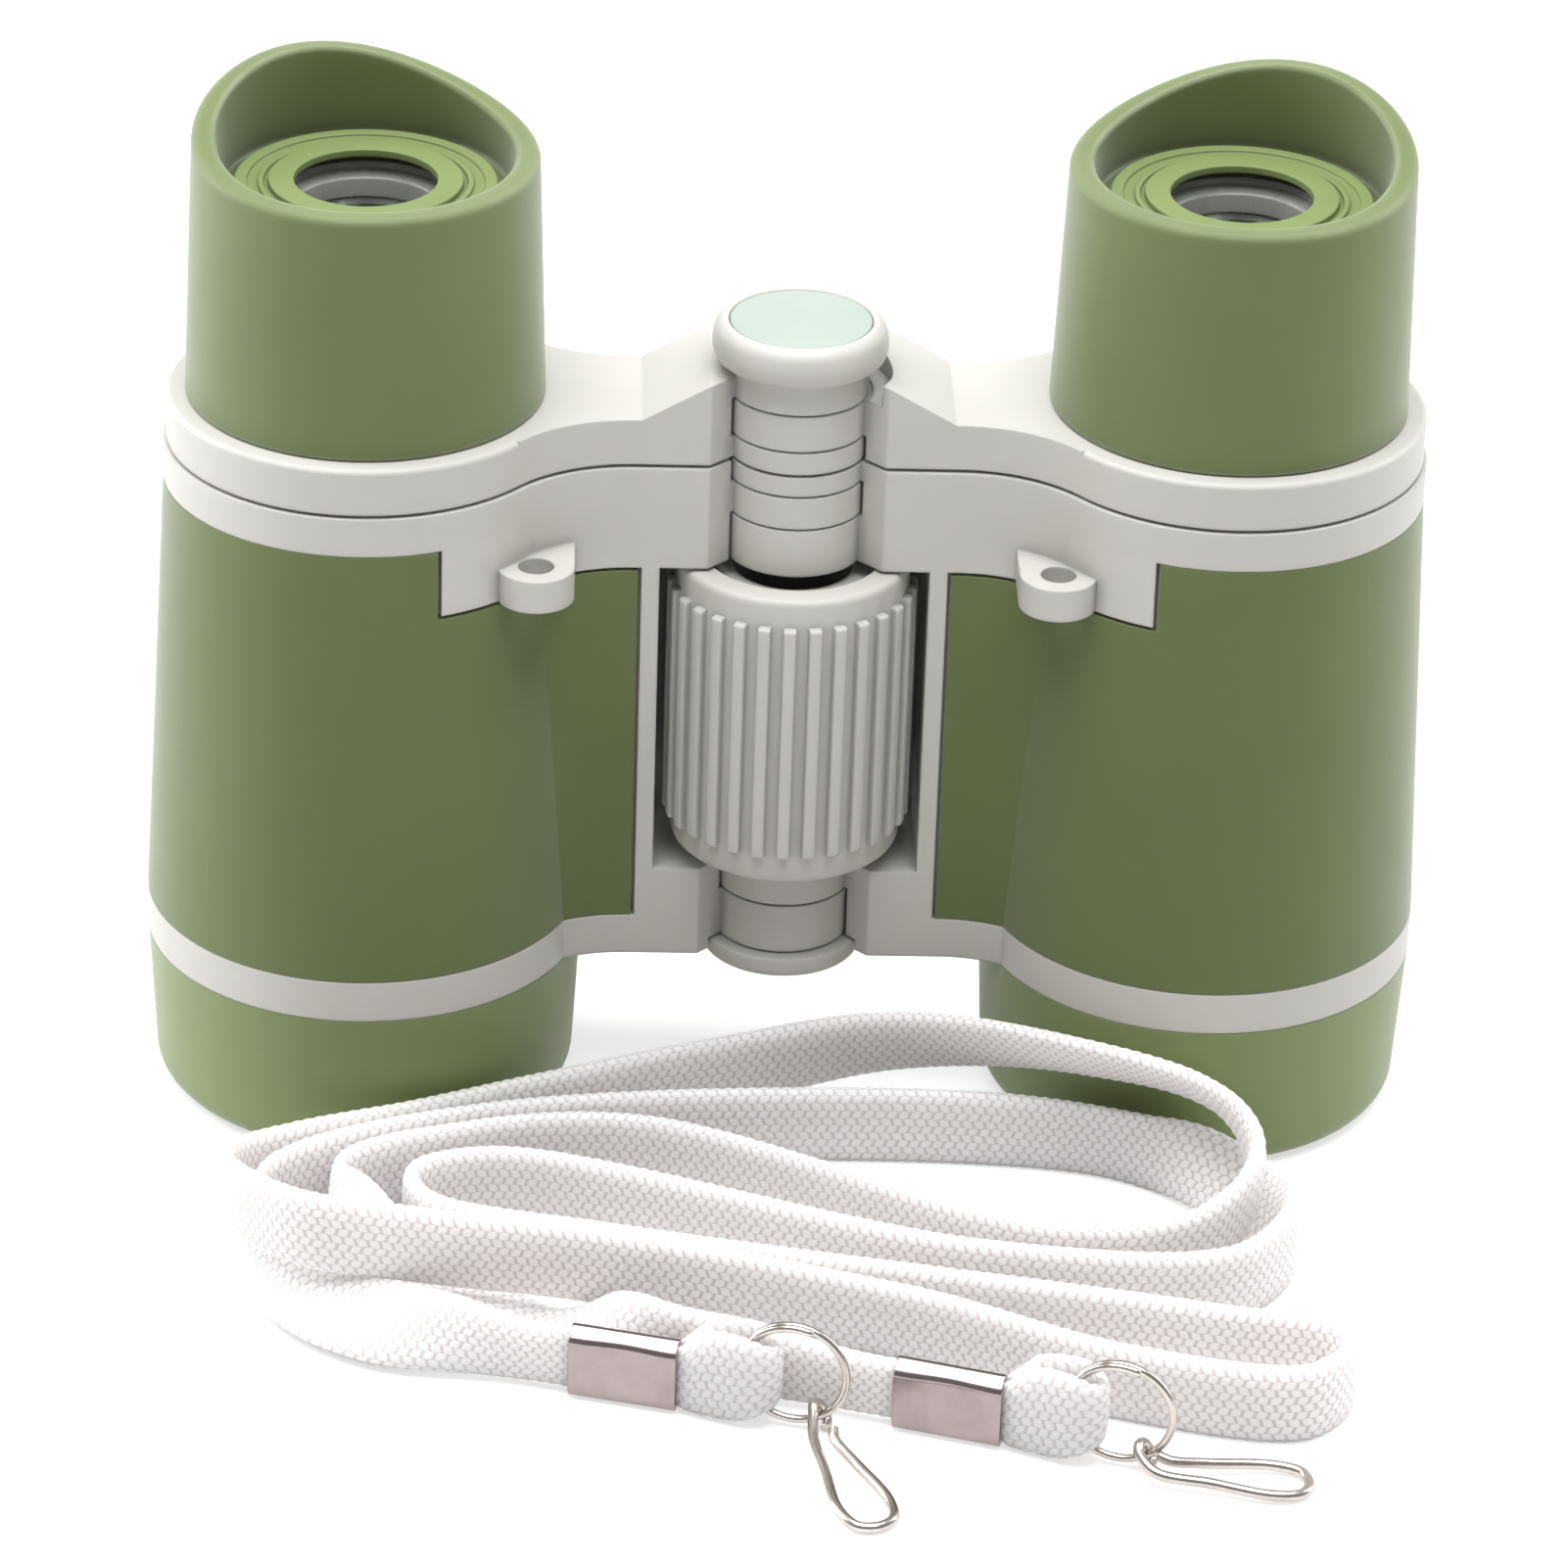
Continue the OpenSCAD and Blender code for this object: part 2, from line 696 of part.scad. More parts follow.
// Ribbed drum, open above, bored for the pivot pin and for the nut
module focus_wheel() {
    recess_h = 1.2;
    recess_wall = 2.4;
    color(GREY) on_hinge(z_wheel) difference() {
        union() {
            cylinder(r = drum_r, h = wheel_h);
            for (i = [0:rib_count - 1]) rotate([0, 0, 360 * i / rib_count])
                translate([drum_r - eps, -rib_w / 2, low_collar_h])
                    cube([rib_t + eps, rib_w, wheel_h - low_collar_h - collar_h]);
        }
        translate([0, 0, -eps]) cylinder(r = pin_r + running_gap, h = wheel_h + 2 * eps);
        translate([0, 0, nut_z]) cylinder(r = nut_r + seat_gap, h = wheel_h);
        translate([0, 0, wheel_h - recess_h]) cylinder(r = drum_r - recess_wall, h = recess_h + eps);
    }
}

// Sleeve that the focus screw runs in
module focus_nut() {
    color(DARK) on_hinge(z_wheel + nut_z) difference() {
        cylinder(r = nut_r, h = nut_h);
        translate([0, 0, -eps]) cylinder(r = pin_r + running_gap, h = nut_h + 2 * eps);
    }
}

// Rod that pins the lower knuckles and carries the wheel
module pivot_pin() {
    foot = z_pivot + pivot_cap_h / 2;
    color(NICKEL) on_hinge(foot) cylinder(r = pin_r, h = z_wheel + axle_h - foot);
}

module pivot_cap() {
    color(GREY) on_hinge(z_pivot) difference() {
        cylinder(r = pivot_cap_r, h = pivot_cap_h);
        translate([0, 0, pivot_cap_h / 2]) cylinder(r = pin_r + seat_gap, h = pivot_cap_h);
    }
}

// Route of the strap from crimp to crimp: x, y, height of its lower edge, lean in degrees
strap_route = [
    [-13.4, -54.4, 0.7, 0], [-18.13, -53.135, 0.59, 0], [-22, -52.1, 0.5, 0], [-34, -47.9, 0.1, -80],
    [-40.6, -42, 0.1, -84], [-43.6, -31, 0.1, 0], [-27, -20.8, 0.1, 0], [16, -17.2, 0.1, 0],
    [31, -20.8, 0.1, 0],
    [39.5, -27, 0.1, 50], [42, -34, 0.1, 0], [36.5, -41.5, 0.1, 0], [16, -41, 0.1, 0],
    [-24, -27.3, 0.1, 0], [-31, -30, 0.1, 0], [-29.5, -34.6, 0.1, 0], [-14, -39.4, 0.1, 0],
    [33, -50, 0.1, 0], [45, -53.5, 0.1, 0], [41.5, -59, 0.1, 0], [27, -56.6, 0.1, 0],
    [8, -47.6, 0.1, 0], [-16, -43.9, 2.6, 0], [-29, -44.6, 4.6, 0], [-40, -43.4, 5.6, 0],
    [-46.2, -35, 3.8, 0], [-44.8, -26.5, 0.6, 0], [-31, -19.9, 0.1, 0], [-6, -10.5, 1, 0],
    [10, -12, 5.5, -20], [25, -18.8, 8.6, -40], [36, -23.4, 7.6, -40], [39.3, -30, 4, 0],
    [34.5, -36.6, 1, 0], [22, -38.2, 0.1, 0], [-12, -21.9, 0.1, 0], [-27, -23.4, 0.1, 0],
    [-37.2, -29.5, 0.1, 0], [-34.4, -37.4, 2.6, 74], [-20, -46.9, 0.3, 86], [-11, -51.2, 0.1, 10],
    [0, -54.8, 0.5, 0], [12.6, -58.8, 0.7, 0]
];
strap_steps = 2;
route_n = len(strap_route);
strap_rings = (route_n - 1) * strap_steps + 1;

// Outline of the strap's section, as shares of its half width and half thickness
strap_section = [
    [1, 0.5], [0.9, 1], [-0.9, 1], [-1, 0.5], [-1, -0.5], [-0.9, -1], [0.9, -1], [1, -0.5]
];
section_n = len(strap_section);

// Route points, carried straight on past both ends
function route_at(i) = i < 0 ? 2 * strap_route[0] - strap_route[1]
    : i < route_n ? strap_route[i]
    : 2 * strap_route[route_n - 1] - strap_route[route_n - 2];

function root_gap(a, b) = sqrt(norm([b[0] - a[0], b[1] - a[1], b[2] - a[2]]));

function blend(a, b, t, t0, t1) = a + (b - a) * (t - t0) / (t1 - t0);

// Smooth curve through four route points, spaced by the root of their distances
function route_curve(p0, p1, p2, p3, u) =
    let (
        t1 = root_gap(p0, p1),
        t2 = t1 + root_gap(p1, p2),
        t3 = t2 + root_gap(p2, p3),
        t = t1 + (t2 - t1) * u,
        a1 = blend(p0, p1, t, 0, t1),
        a2 = blend(p1, p2, t, t1, t2),
        a3 = blend(p2, p3, t, t2, t3),
        b1 = blend(a1, a2, t, 0, t2),
        b2 = blend(a2, a3, t, t1, t3)
    ) blend(b1, b2, t, t1, t2);

strap_line = [
    for (i = [0:route_n - 2]) for (k = [0:strap_steps - 1])
        route_curve(route_at(i - 1), route_at(i), route_at(i + 1), route_at(i + 2), k / strap_steps),
    strap_route[route_n - 1]
];

// Half width of the strap, drawn in towards the crimps
function strap_half(i) = min(strap_w, crimp_hold_w + 0.4 * max(0, min(i, strap_rings - 1 - i) - 2)) / 2;

function flat_unit(a, b) = [b[0] - a[0], b[1] - a[1], 0] / norm([b[0] - a[0], b[1] - a[1]]);

function strap_ring_points(i) =
    let (
        p = strap_line[i],
        d = flat_unit(strap_line[max(0, i - 1)], strap_line[min(strap_rings - 1, i + 1)]),
        side = [-d[1], d[0], 0],
        up = [0, 0, 1],
        wide = up * cos(p[3]) + side * sin(p[3]),
        thin = side * cos(p[3]) - up * sin(p[3]),
        half = strap_half(i),
        z = max(0.05, p[2]) + half * abs(cos(p[3])) + strap_t / 2 * abs(sin(p[3])),
        c = [p[0], p[1], z]
    ) [for (s = strap_section) c + wide * half * s[0] + thin * strap_t / 2 * s[1]];

// Flat woven strap as one tube from crimp to crimp
module strap() {
    points = [for (i = [0:strap_rings - 1]) each strap_ring_points(i)];
    last = (strap_rings - 1) * section_n;
    sides = [
        for (i = [0:strap_rings - 2]) for (j = [0:section_n - 1])
            let (a = i * section_n + j, b = i * section_n + (j + 1) % section_n)
            each [[a, b, b + section_n], [a, b + section_n, a + section_n]]
    ];
    caps = [
        for (j = [1:section_n - 2]) each [[0, j + 1, j], [last, last + j, last + j + 1]]
    ];
    color(WHITE) polyhedron(points, concat(sides, caps), convexity = 10);
}

// Heading of the strap's two ends, out of the crimps
end_heads = [
    atan2(strap_route[0][1] - strap_route[1][1], strap_route[0][0] - strap_route[1][0]),
    atan2(
        strap_route[route_n - 1][1] - strap_route[route_n - 2][1],
        strap_route[route_n - 1][0] - strap_route[route_n - 2][0]
    )
];
end_points = [strap_route[0], strap_route[route_n - 1]];
end_z = strap_route[0][2] + crimp_hold_w / 2;

// Places along a strap end, measured out from the middle of its crimp
loop_x = crimp_l / 2 + loop_l;
ring_z = ring_r + ring_wire_r + 0.35;
nose_h = 5;
nose_r = 1.6;
eye_x = loop_x - nose_r - 1.8;
eye_w = 2 * ring_wire_r + 0.7;
eye_l = ring_r - sqrt(pow(ring_r, 2) - pow(nose_h / 2, 2));

// Children in the frame of one strap end: X out of the crimp, Z up from the floor
module strap_end(i) {
    translate([end_points[i][0], end_points[i][1], 0]) rotate([0, 0, end_heads[i]]) children();
}

// Flattened metal sleeve round the strap
module strap_crimp(i) {
    slot_h = crimp_hold_w + 2 * seat_gap;
    slot_t = strap_t + 4 * seat_gap;
    color(NICKEL) strap_end(i) translate([0, 0, end_z]) difference() {
        cube([crimp_l, slot_t + 2 * crimp_wall, slot_h + 2 * crimp_wall], center = true);
        cube([crimp_l + 2 * eps, slot_t, slot_h], center = true);
    }
}

module strap_crimp_1() {
    strap_crimp(0);
}

module strap_crimp_2() {
    strap_crimp(1);
}

// Folded strap end: a tail in the crimp, two layers beyond it and an eye for the ring
module strap_loop(i) {
    tail_x = 0.3;
    fold_x = crimp_l / 2 + 0.1;
    color(WHITE) strap_end(i) difference() {
        union() {
            translate([tail_x, -strap_t / 2, end_z - crimp_hold_w / 2])
                cube([fold_x - tail_x + 1, strap_t, crimp_hold_w]);
            translate([fold_x, -nose_r, ring_z - loop_h / 2 - 0.5])
                cube([eye_x - 1.6 - fold_x, 2 * nose_r, loop_h]);
            translate([eye_x - 2, -nose_r, ring_z - nose_h / 2])
                cube([loop_x - nose_r - eye_x + 2, 2 * nose_r, nose_h]);
            translate([loop_x - nose_r, 0, ring_z - nose_h / 2]) cylinder(r = nose_r, h = nose_h);
        }
        translate([eye_x, 0, 0]) cylinder(r = eye_w / 2, h = 3 * ring_z);
        translate([eye_x, -eye_w / 2, 0]) cube([eye_l, eye_w, 3 * ring_z]);
        translate([eye_x + eye_l, 0, 0]) cylinder(r = eye_w / 2, h = 3 * ring_z);
    }
}

module strap_loop_1() {
    strap_loop(0);
}

module strap_loop_2() {
    strap_loop(1);
}

// Wire ring that stands in the eye of the folded end
module strap_ring(i) {
    color(NICKEL) strap_end(i) translate([eye_x + ring_r, 0, ring_z]) rotate([90, 0, 0])
        rotate_extrude() translate([ring_r, 0]) circle(r = ring_wire_r, $fn = 24);
}

module strap_ring_1() {
    strap_ring(0);
}

module strap_ring_2() {
    strap_ring(1);
}

// Wire hook: a small eye round the ring's lower wire and a long loop that rests on the floor, with
// beads where the wires meet
hook_eye_r = 1.05;
hook_neck = 0.5;
hook_ball_r = 1.02;
hook_bead_r = 0.52;
hook_heads = [-55, 14];
hook_at = 58;

module hook_body() {
    reach = hook_l - hook_end_r;
    turn = asin(hook_end_r / norm([reach, hook_neck])) - atan2(hook_neck, reach);
    rod = (reach - hook_end_r * sin(turn)) / cos(turn);
    arc = 174 + 2 * turn;
    sphere(r = hook_ball_r);
    for (s = [-1, 1]) translate([0, s * hook_neck, 0]) rotate([0, 0, s * turn]) rotate([0, 90, 0]) {
        cylinder(r = hook_wire_r, h = rod - 0.1, $fn = 24);
        translate([0, 0, rod]) sphere(r = hook_bead_r);
    }
    translate([reach, 0, 0]) rotate([0, 0, -arc / 2]) rotate_extrude(angle = arc) translate([hook_end_r, 0])
        circle(r = hook_wire_r, $fn = 24);
}

module strap_hook(i) {
    eye = [eye_x + ring_r + ring_r * cos(hook_at), 0, ring_z - ring_r * sin(hook_at)];
    front = eye - [0, hook_eye_r + hook_wire_r + 0.25, 0];
    drop = asin((eye[2] - hook_wire_r - 0.1) / hook_l);
    color(NICKEL) strap_end(i) union() {
        translate(eye) rotate([0, hook_at, 0]) rotate_extrude() translate([hook_eye_r, 0])
            circle(r = hook_wire_r, $fn = 24);
        translate(front) rotate([0, 0, hook_heads[i]]) rotate([0, drop, 0]) hook_body();
    }
}

module strap_hook_1() {
    strap_hook(0);
}

module strap_hook_2() {
    strap_hook(1);
}

left_frame();
left_grip();
left_objective_rim();
left_objective_lens();
left_lens_ring();
right_frame();
right_grip();
right_objective_rim();
right_objective_lens();
right_lens_ring();
left_bridge_arm();
left_eyecup();
left_eyepiece_disc();
left_eyepiece_cell();
left_eyepiece_lens();
right_bridge_arm();
right_eyecup();
right_eyepiece_disc();
right_eyepiece_cell();
right_eyepiece_lens();
focus_screw();
hub_cap();
hub_disc();
focus_wheel();
focus_nut();
pivot_pin();
pivot_cap();
strap();
strap_crimp_1();
strap_crimp_2();
strap_loop_1();
strap_loop_2();
strap_ring_1();
strap_ring_2();
strap_hook_1();
strap_hook_2();
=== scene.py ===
"""Toy binoculars with a loose neck strap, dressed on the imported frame.

The frame stands on the floor at z = 0, its optical axes run along +Z and the strap lugs
look along -Y. Sizes in the classes are millimetres, and a mesh is made in metres.
"""

import logging
import math
from dataclasses import dataclass
from enum import Enum
from typing import Any, Callable, Sequence, Union

import bmesh
import bpy
import numpy as np
from mathutils import Matrix, Vector


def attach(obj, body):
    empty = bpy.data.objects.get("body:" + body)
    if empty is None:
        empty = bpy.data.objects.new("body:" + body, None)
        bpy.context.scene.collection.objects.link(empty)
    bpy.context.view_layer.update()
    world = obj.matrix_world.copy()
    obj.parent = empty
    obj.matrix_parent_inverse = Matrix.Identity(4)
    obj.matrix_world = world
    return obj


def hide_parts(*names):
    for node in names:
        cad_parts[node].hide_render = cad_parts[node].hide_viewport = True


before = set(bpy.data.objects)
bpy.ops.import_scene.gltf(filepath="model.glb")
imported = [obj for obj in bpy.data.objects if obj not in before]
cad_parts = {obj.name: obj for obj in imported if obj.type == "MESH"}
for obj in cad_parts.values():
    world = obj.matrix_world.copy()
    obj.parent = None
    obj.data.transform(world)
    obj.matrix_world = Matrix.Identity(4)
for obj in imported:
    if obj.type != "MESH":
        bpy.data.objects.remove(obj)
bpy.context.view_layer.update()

# Metres in a millimetre, millimetres in a micrometre
MM = 0.001
MICRON = 0.001
# Distance in metres below which points are one, and angle from which an edge stays sharp
WELD = 1e-7
SHARP = math.radians(42)
# Steps in the rounding of a corner, where nothing else is asked for
ROUND_STEPS = 5
# Numbers of a Mix node's sockets for colours: share, two colours and the result
MIX_SHARE, MIX_LOW, MIX_HIGH, MIX_RESULT = 0, 6, 7, 2
LOG = logging.getLogger("binoculars")

Array = np.ndarray
Pair = tuple[float, float]
Triple = tuple[float, float, float]
Colour = Triple
Linear = tuple[float, float, float, float]
Material = bpy.types.Material


class Side(Enum):
    """The two halves, by the sign of their optical axis along X."""

    LEFT = -1
    RIGHT = 1

    @property
    def word(self) -> str:
        """Name that the half's nodes start with."""
        return self.name.lower()


class Grain(Enum):
    """Surface that a mould leaves: size of its grain in millimetres and depth in micrometres."""

    SATIN = (0.32, 9.0)
    SOFT = (0.24, 12.0)
    POLISHED = (1.6, 2.0)


def linear(colour: Colour) -> Linear:
    """Turn a colour of 0 to 255 per channel into the linear values that sockets take.

    Args:
        colour: Red, green and blue as a picture writes them.

    Returns:
        Linear red, green and blue, and an alpha of one.
    """
    share = np.array(colour, float) / 255
    value = np.where(share > 0.04045, ((share + 0.055) / 1.055) ** 2.4, share / 12.92)
    return (*map(float, value), 1.0)


def dimmed(colour: Colour, share: float) -> Linear:
    """Linear values of a colour whose channels are held to a share."""
    return linear(tuple(channel * share for channel in colour))


def operators(operation: str) -> tuple["Operator", "Operator"]:
    """Make an operator of Signal and its reflected form, which both add a Math node.

    Args:
        operation: The Math node's operation.

    Returns:
        The method with the signal on the left and the one with the signal on the right.
    """
    def forward(self: "Signal", other: "Value") -> "Signal":
        """Signal first."""
        return self.math(operation, self, other)

    def reflected(self: "Signal", other: "Value") -> "Signal":
        """Other value first."""
        return self.math(operation, other, self)

    return forward, reflected


class Signal:
    """A node's output that takes part in Python arithmetic; each operator adds a Math node."""

    def __init__(self, tree: bpy.types.NodeTree, socket: bpy.types.NodeSocket) -> None:
        """Wrap a socket of a node tree."""
        self.tree = tree
        self.socket = socket

    def math(self, operation: str, *values: "Value") -> "Signal":
        """Add a Math node.

        Args:
            operation: The Math node's operation.
            values: Signals or numbers for its inputs, in order.

        Returns:
            The node's output.
        """
        node = self.tree.nodes.new("ShaderNodeMath")
        node.operation = operation
        for socket, value in zip(node.inputs, values):
            plug(socket, value)
        return Signal(self.tree, node.outputs[0])

    __add__, __radd__ = operators("ADD")
    __sub__, __rsub__ = operators("SUBTRACT")
    __mul__, __rmul__ = operators("MULTIPLY")
    __truediv__, __rtruediv__ = operators("DIVIDE")
    __pow__, __rpow__ = operators("POWER")
    __mod__, __rmod__ = operators("FLOORED_MODULO")
    __gt__, __lt__ = operators("GREATER_THAN")

    def floor(self) -> "Signal":
        """Whole number below."""
        return self.math("FLOOR", self)

    def cosine(self) -> "Signal":
        """Cosine of an angle in radians."""
        return self.math("COSINE", self)

    def clamped(self) -> "Signal":
        """Value held between nought and one."""
        return self.math("MAXIMUM", self.math("MINIMUM", self, 1.0), 0.0)


Value = Union[Signal, float]
Operator = Callable[[Signal, Value], Signal]


def plug(socket: bpy.types.NodeSocket, value: Any) -> None:
    """Link a signal to a socket, or set the socket to a plain value.

    Args:
        socket: The socket.
        value: The signal or plain value.
    """
    if isinstance(value, Signal):
        value.tree.links.new(value.socket, socket)
    else:
        socket.default_value = value


class Bench:
    """Node tree of one finish while it is put together."""

    def __init__(self, owner: Material | bpy.types.World) -> None:
        """Start an empty tree.

        Args:
            owner: The material or world that the tree belongs to.
        """
        owner.use_nodes = True
        self.tree = owner.node_tree
        self.tree.nodes.clear()

    def node(
        self, kind: str, settings: dict[str, Any], sockets: dict[str | int, Any], out: str | int = 0
    ) -> Signal:
        """Add a node of any kind.

        Args:
            kind: The node's type.
            settings: Its settings, set before the sockets.
            sockets: Values or signals for its inputs, by name or number.
            out: Name or number of the output to return.

        Returns:
            The output as a signal.
        """
        made = self.tree.nodes.new(kind)
        for name, value in settings.items():
            setattr(made, name, value)
        for name, value in sockets.items():
            plug(made.inputs[name], value)
        return Signal(self.tree, made.outputs[out])

    def blend(self, share: Value, low: Any, high: Any) -> Signal:
        """Mix two colours.

        Args:
            share: Share of the second colour.
            low: First colour.
            high: Second colour.

        Returns:
            The mixed colour.
        """
        sockets = {MIX_SHARE: share, MIX_LOW: low, MIX_HIGH: high}
        return self.node("ShaderNodeMix", {"data_type": "RGBA"}, sockets, out=MIX_RESULT)

    def noise(self, vector: Signal, size: float, detail: float = 2.0, rough: float = 0.5) -> Signal:
        """Cloudy noise from nought to one.

        Args:
            vector: Place on the piece, in metres.
            size: Size of its clouds in millimetres.
            detail: Number of finer layers.
            rough: Strength of the finer layers.

        Returns:
            The noise.
        """
        sockets = {"Vector": vector, "Scale": 1 / (size * MM), "Detail": detail, "Roughness": rough}
        return self.node("ShaderNodeTexNoise", {}, sockets, out="Fac")

    def position(self) -> Signal:
        """Place on the piece: object coordinates, in metres."""
        return self.node("ShaderNodeTexCoord", {}, {}, out="Object")

    def surface(self, shader: Signal, output: str = "ShaderNodeOutputMaterial") -> None:
        """End the tree in a shader."""
        plug(self.tree.nodes.new(output).inputs["Surface"], shader)

    def principled(self, sockets: dict[str | int, Any]) -> None:
        """End the tree in a Principled shader."""
        self.surface(self.node("ShaderNodeBsdfPrincipled", {}, sockets))

    def bump(
        self, height: Signal, depth: float, strength: float, normal: Signal | None = None
    ) -> Signal:
        """Bump from a height of nought to one.

        Args:
            height: Height of the relief.
            depth: Depth of the relief in millimetres.
            strength: Share of the relief that shows.
            normal: Normal that it starts from, or none for the mesh's own.

        Returns:
            The bumped normal.
        """
        sockets: dict[str | int, Any] = {"Height": height, "Distance": depth * MM, "Strength": strength}
        if normal is not None:
            sockets["Normal"] = normal
        return self.node("ShaderNodeBump", {}, sockets)


def new_bench(name: str) -> tuple[Material, Bench]:
    """Make a material of that name and the bench that its nodes are put together on."""
    material = bpy.data.materials.new(name)
    return material, Bench(material)


@dataclass(frozen=True)
class Moulded:
    """Moulded plastic or soft rubber: mould grain, clouds, specks, pale edges and painted hollow shade.

    Sizes are millimetres. The shares that show are those of the pale edges, specks, clouds and
    hollow. The pale edges are partly wear and partly a painted highlight; hollow is the strength of
    the painted shade in hollows, and the shade tone is the colour share that it darkens to.
    """

    name: str
    colour: Colour
    # Pale tone of the edges: partly wear, partly a painted highlight
    worn_and_highlight: Colour
    roughness: float
    grain: Grain
    edge: float = 0.3
    # Share of the pale edge tone that shows: wear and painted highlight
    wear_and_highlight_share: float = 0.55
    sheen: float = 0.0
    specks: float = 0.0
    clouds: float = 0.05
    gloss: float = 0.4
    # Painted shade in the piece's hollows: its strength, reach and tone
    hollow: float = 0.0
    shade_reach: float = 1.3
    shade_tone: float = 0.66
    cloud_size: float = 14.0
    cloud_rough: float = 0.06
    touch_size: float = 4.0
    touch_rough: float = 0.14
    edge_gain: float = 2.2
    edge_least: float = 0.35
    shade_gain: float = 1.3
    grain_share: float = 0.8
    sheen_roughness: float = 0.45
    refraction: float = 1.48
    specks_per_metre: float = 105.0
    speck_radius: float = 0.022
    speck_pick: float = 0.62
    speck_tone: float = 0.45

    def make(self) -> Material:
        """Build the material.

        The edge mask is one minus the cosine between the mesh's normal and a normal that is
        averaged over the edge radius, uneven where the piece was handled. The edges turn to the pale
        tone, which is partly wear and partly a painted highlight.

        Returns:
            The material.
        """
        material, bench = new_bench(self.name)
        at = bench.position()
        soft = bench.node("ShaderNodeBevel", {"samples": 4}, {"Radius": self.edge * MM})
        flat = bench.node("ShaderNodeNewGeometry", {}, {}, out="Normal")
        normals = {0: soft, 1: flat}
        dot = bench.node("ShaderNodeVectorMath", {"operation": "DOT_PRODUCT"}, normals, out="Value")
        clouds = bench.noise(at, self.cloud_size, detail=3.0)
        touched = bench.noise(at, self.touch_size, detail=4.0, rough=0.6)
        edge = ((1.0 - dot) * self.edge_gain * (touched + self.edge_least)).clamped()
        body = bench.blend(clouds, dimmed(self.colour, 1 - 2 * self.clouds), linear(self.colour))
        # Pale edges: partly wear, partly a painted highlight on the rounded edges
        body = bench.blend(edge * self.wear_and_highlight_share, body, linear(self.worn_and_highlight))
        if self.specks:
            body = self._speckled(bench, at, body)
        # Painted shade: darken the piece's own hollows and grooves
        if self.hollow:
            body = self._painted_hollow_shade(bench, body)
        grain_size, grain_depth = self.grain.value
        grain = bench.noise(at, grain_size, rough=0.6)
        mean = (self.touch_rough + self.cloud_rough) / 2
        rough = touched * self.touch_rough + clouds * self.cloud_rough + (self.roughness - mean)
        normal = bench.bump(grain, grain_depth * MICRON, self.grain_share, soft)
        bench.principled({
            "Base Color": body, "Roughness": rough, "Normal": normal,
            "Sheen Weight": self.sheen, "Sheen Roughness": self.sheen_roughness,
            "IOR": self.refraction, "Specular IOR Level": self.gloss,
        })
        return material

    def _painted_hollow_shade(self, bench: Bench, body: Signal) -> Signal:
        """Paint shade into a colour: darken it by the share of the sky that the piece's own walls hide.

        Args:
            bench: Bench of the finish.
            body: The colour.

        Returns:
            The colour with the painted shade.
        """
        settings, reach = {"samples": 6, "only_local": True}, {"Distance": self.shade_reach * MM}
        sky = bench.node("ShaderNodeAmbientOcclusion", settings, reach, out="AO")
        hidden = ((1.0 - sky) * self.shade_gain).clamped()
        return bench.blend(hidden * self.hollow, body, dimmed(self.colour, self.shade_tone))

    def _speckled(self, bench: Bench, at: Signal, body: Signal) -> Signal:
        """Lay small dark specks on a colour.

        A speck shows where the centre of a cell is nearer than the speck's radius, in widths of a
        cell, and the cell's random value is high.

        Args:
            bench: Bench of the finish.
            at: Place on the piece.
            body: The colour.

        Returns:
            The speckled colour.
        """
        cells = {"Vector": at, "Scale": self.specks_per_metre}
        near = bench.node("ShaderNodeTexVoronoi", {"feature": "F1"}, cells, out="Distance")
        pick = bench.node("ShaderNodeTexVoronoi", {"feature": "F1"}, cells, out="Color")
        red = bench.node("ShaderNodeSeparateColor", {}, {"Color": pick}, out="Red")
        mask = (near < self.speck_radius) * (red > self.speck_pick) * self.specks
        return bench.blend(mask, body, dimmed(self.colour, self.speck_tone))


@dataclass(frozen=True)
class Plated:
    """Bright plated metal with fine rubbed scratches and a few dull smears."""

    name: str
    colour: Colour
    dull: Colour
    roughness: float
    scratch_size: float = 0.12
    scratch_draw: Triple = (0.12, 1.0, 1.0)
    scratch_depth: float = 0.004
    scratch_share: float = 0.35
    scratch_rough: float = 0.1
    smear_size: float = 2.6
    smear_gain: float = 1.6
    smear_least: float = 0.5
    smear_rough: float = 0.16
    rubbed: float = 0.1

    def make(self) -> Material:
        """Build the material; scratches are noise drawn out along one direction.

        Returns:
            The material.
        """
        material, bench = new_bench(self.name)
        at = bench.position()
        drawn = bench.node("ShaderNodeMapping", {}, {"Vector": at, "Scale": self.scratch_draw})
        scratch = bench.noise(drawn, self.scratch_size, detail=3.0, rough=0.7)
        smear = bench.noise(at, self.smear_size, detail=3.0, rough=0.6)
        dulled = (smear * self.smear_gain - self.smear_least).clamped()
        tone = bench.blend(dulled, linear(self.colour), linear(self.dull))
        rough = smear * self.smear_rough + scratch * self.scratch_rough + (self.roughness - self.rubbed)
        bench.principled({
            "Base Color": tone, "Metallic": 1.0, "Roughness": rough,
            "Normal": bench.bump(scratch, self.scratch_depth, self.scratch_share),
        })
        return material


@dataclass(frozen=True)
class Glass:
    """Clear lens glass with a faint tint and finger smears."""

    name: str
    colour: Colour
    smear_size: float = 3.5
    smear_depth: float = 0.004
    smear_share: float = 0.2
    smear_tone: float = 0.94
    smear_rough: float = 0.2
    clean: float = 0.06
    refraction: float = 1.52

    def make(self) -> Material:
        """Build the material.

        Returns:
            The material.
        """
        material, bench = new_bench(self.name)
        smear = bench.noise(bench.position(), self.smear_size, detail=3.0, rough=0.6)
        tint = bench.blend(smear, linear(self.colour), dimmed(self.colour, self.smear_tone))
        bench.principled({
            "Base Color": tint, "Roughness": (smear * self.smear_rough - self.clean).clamped(),
            "IOR": self.refraction, "Transmission Weight": 1.0,
            "Normal": bench.bump(smear, self.smear_depth, self.smear_share),
        })
        return material


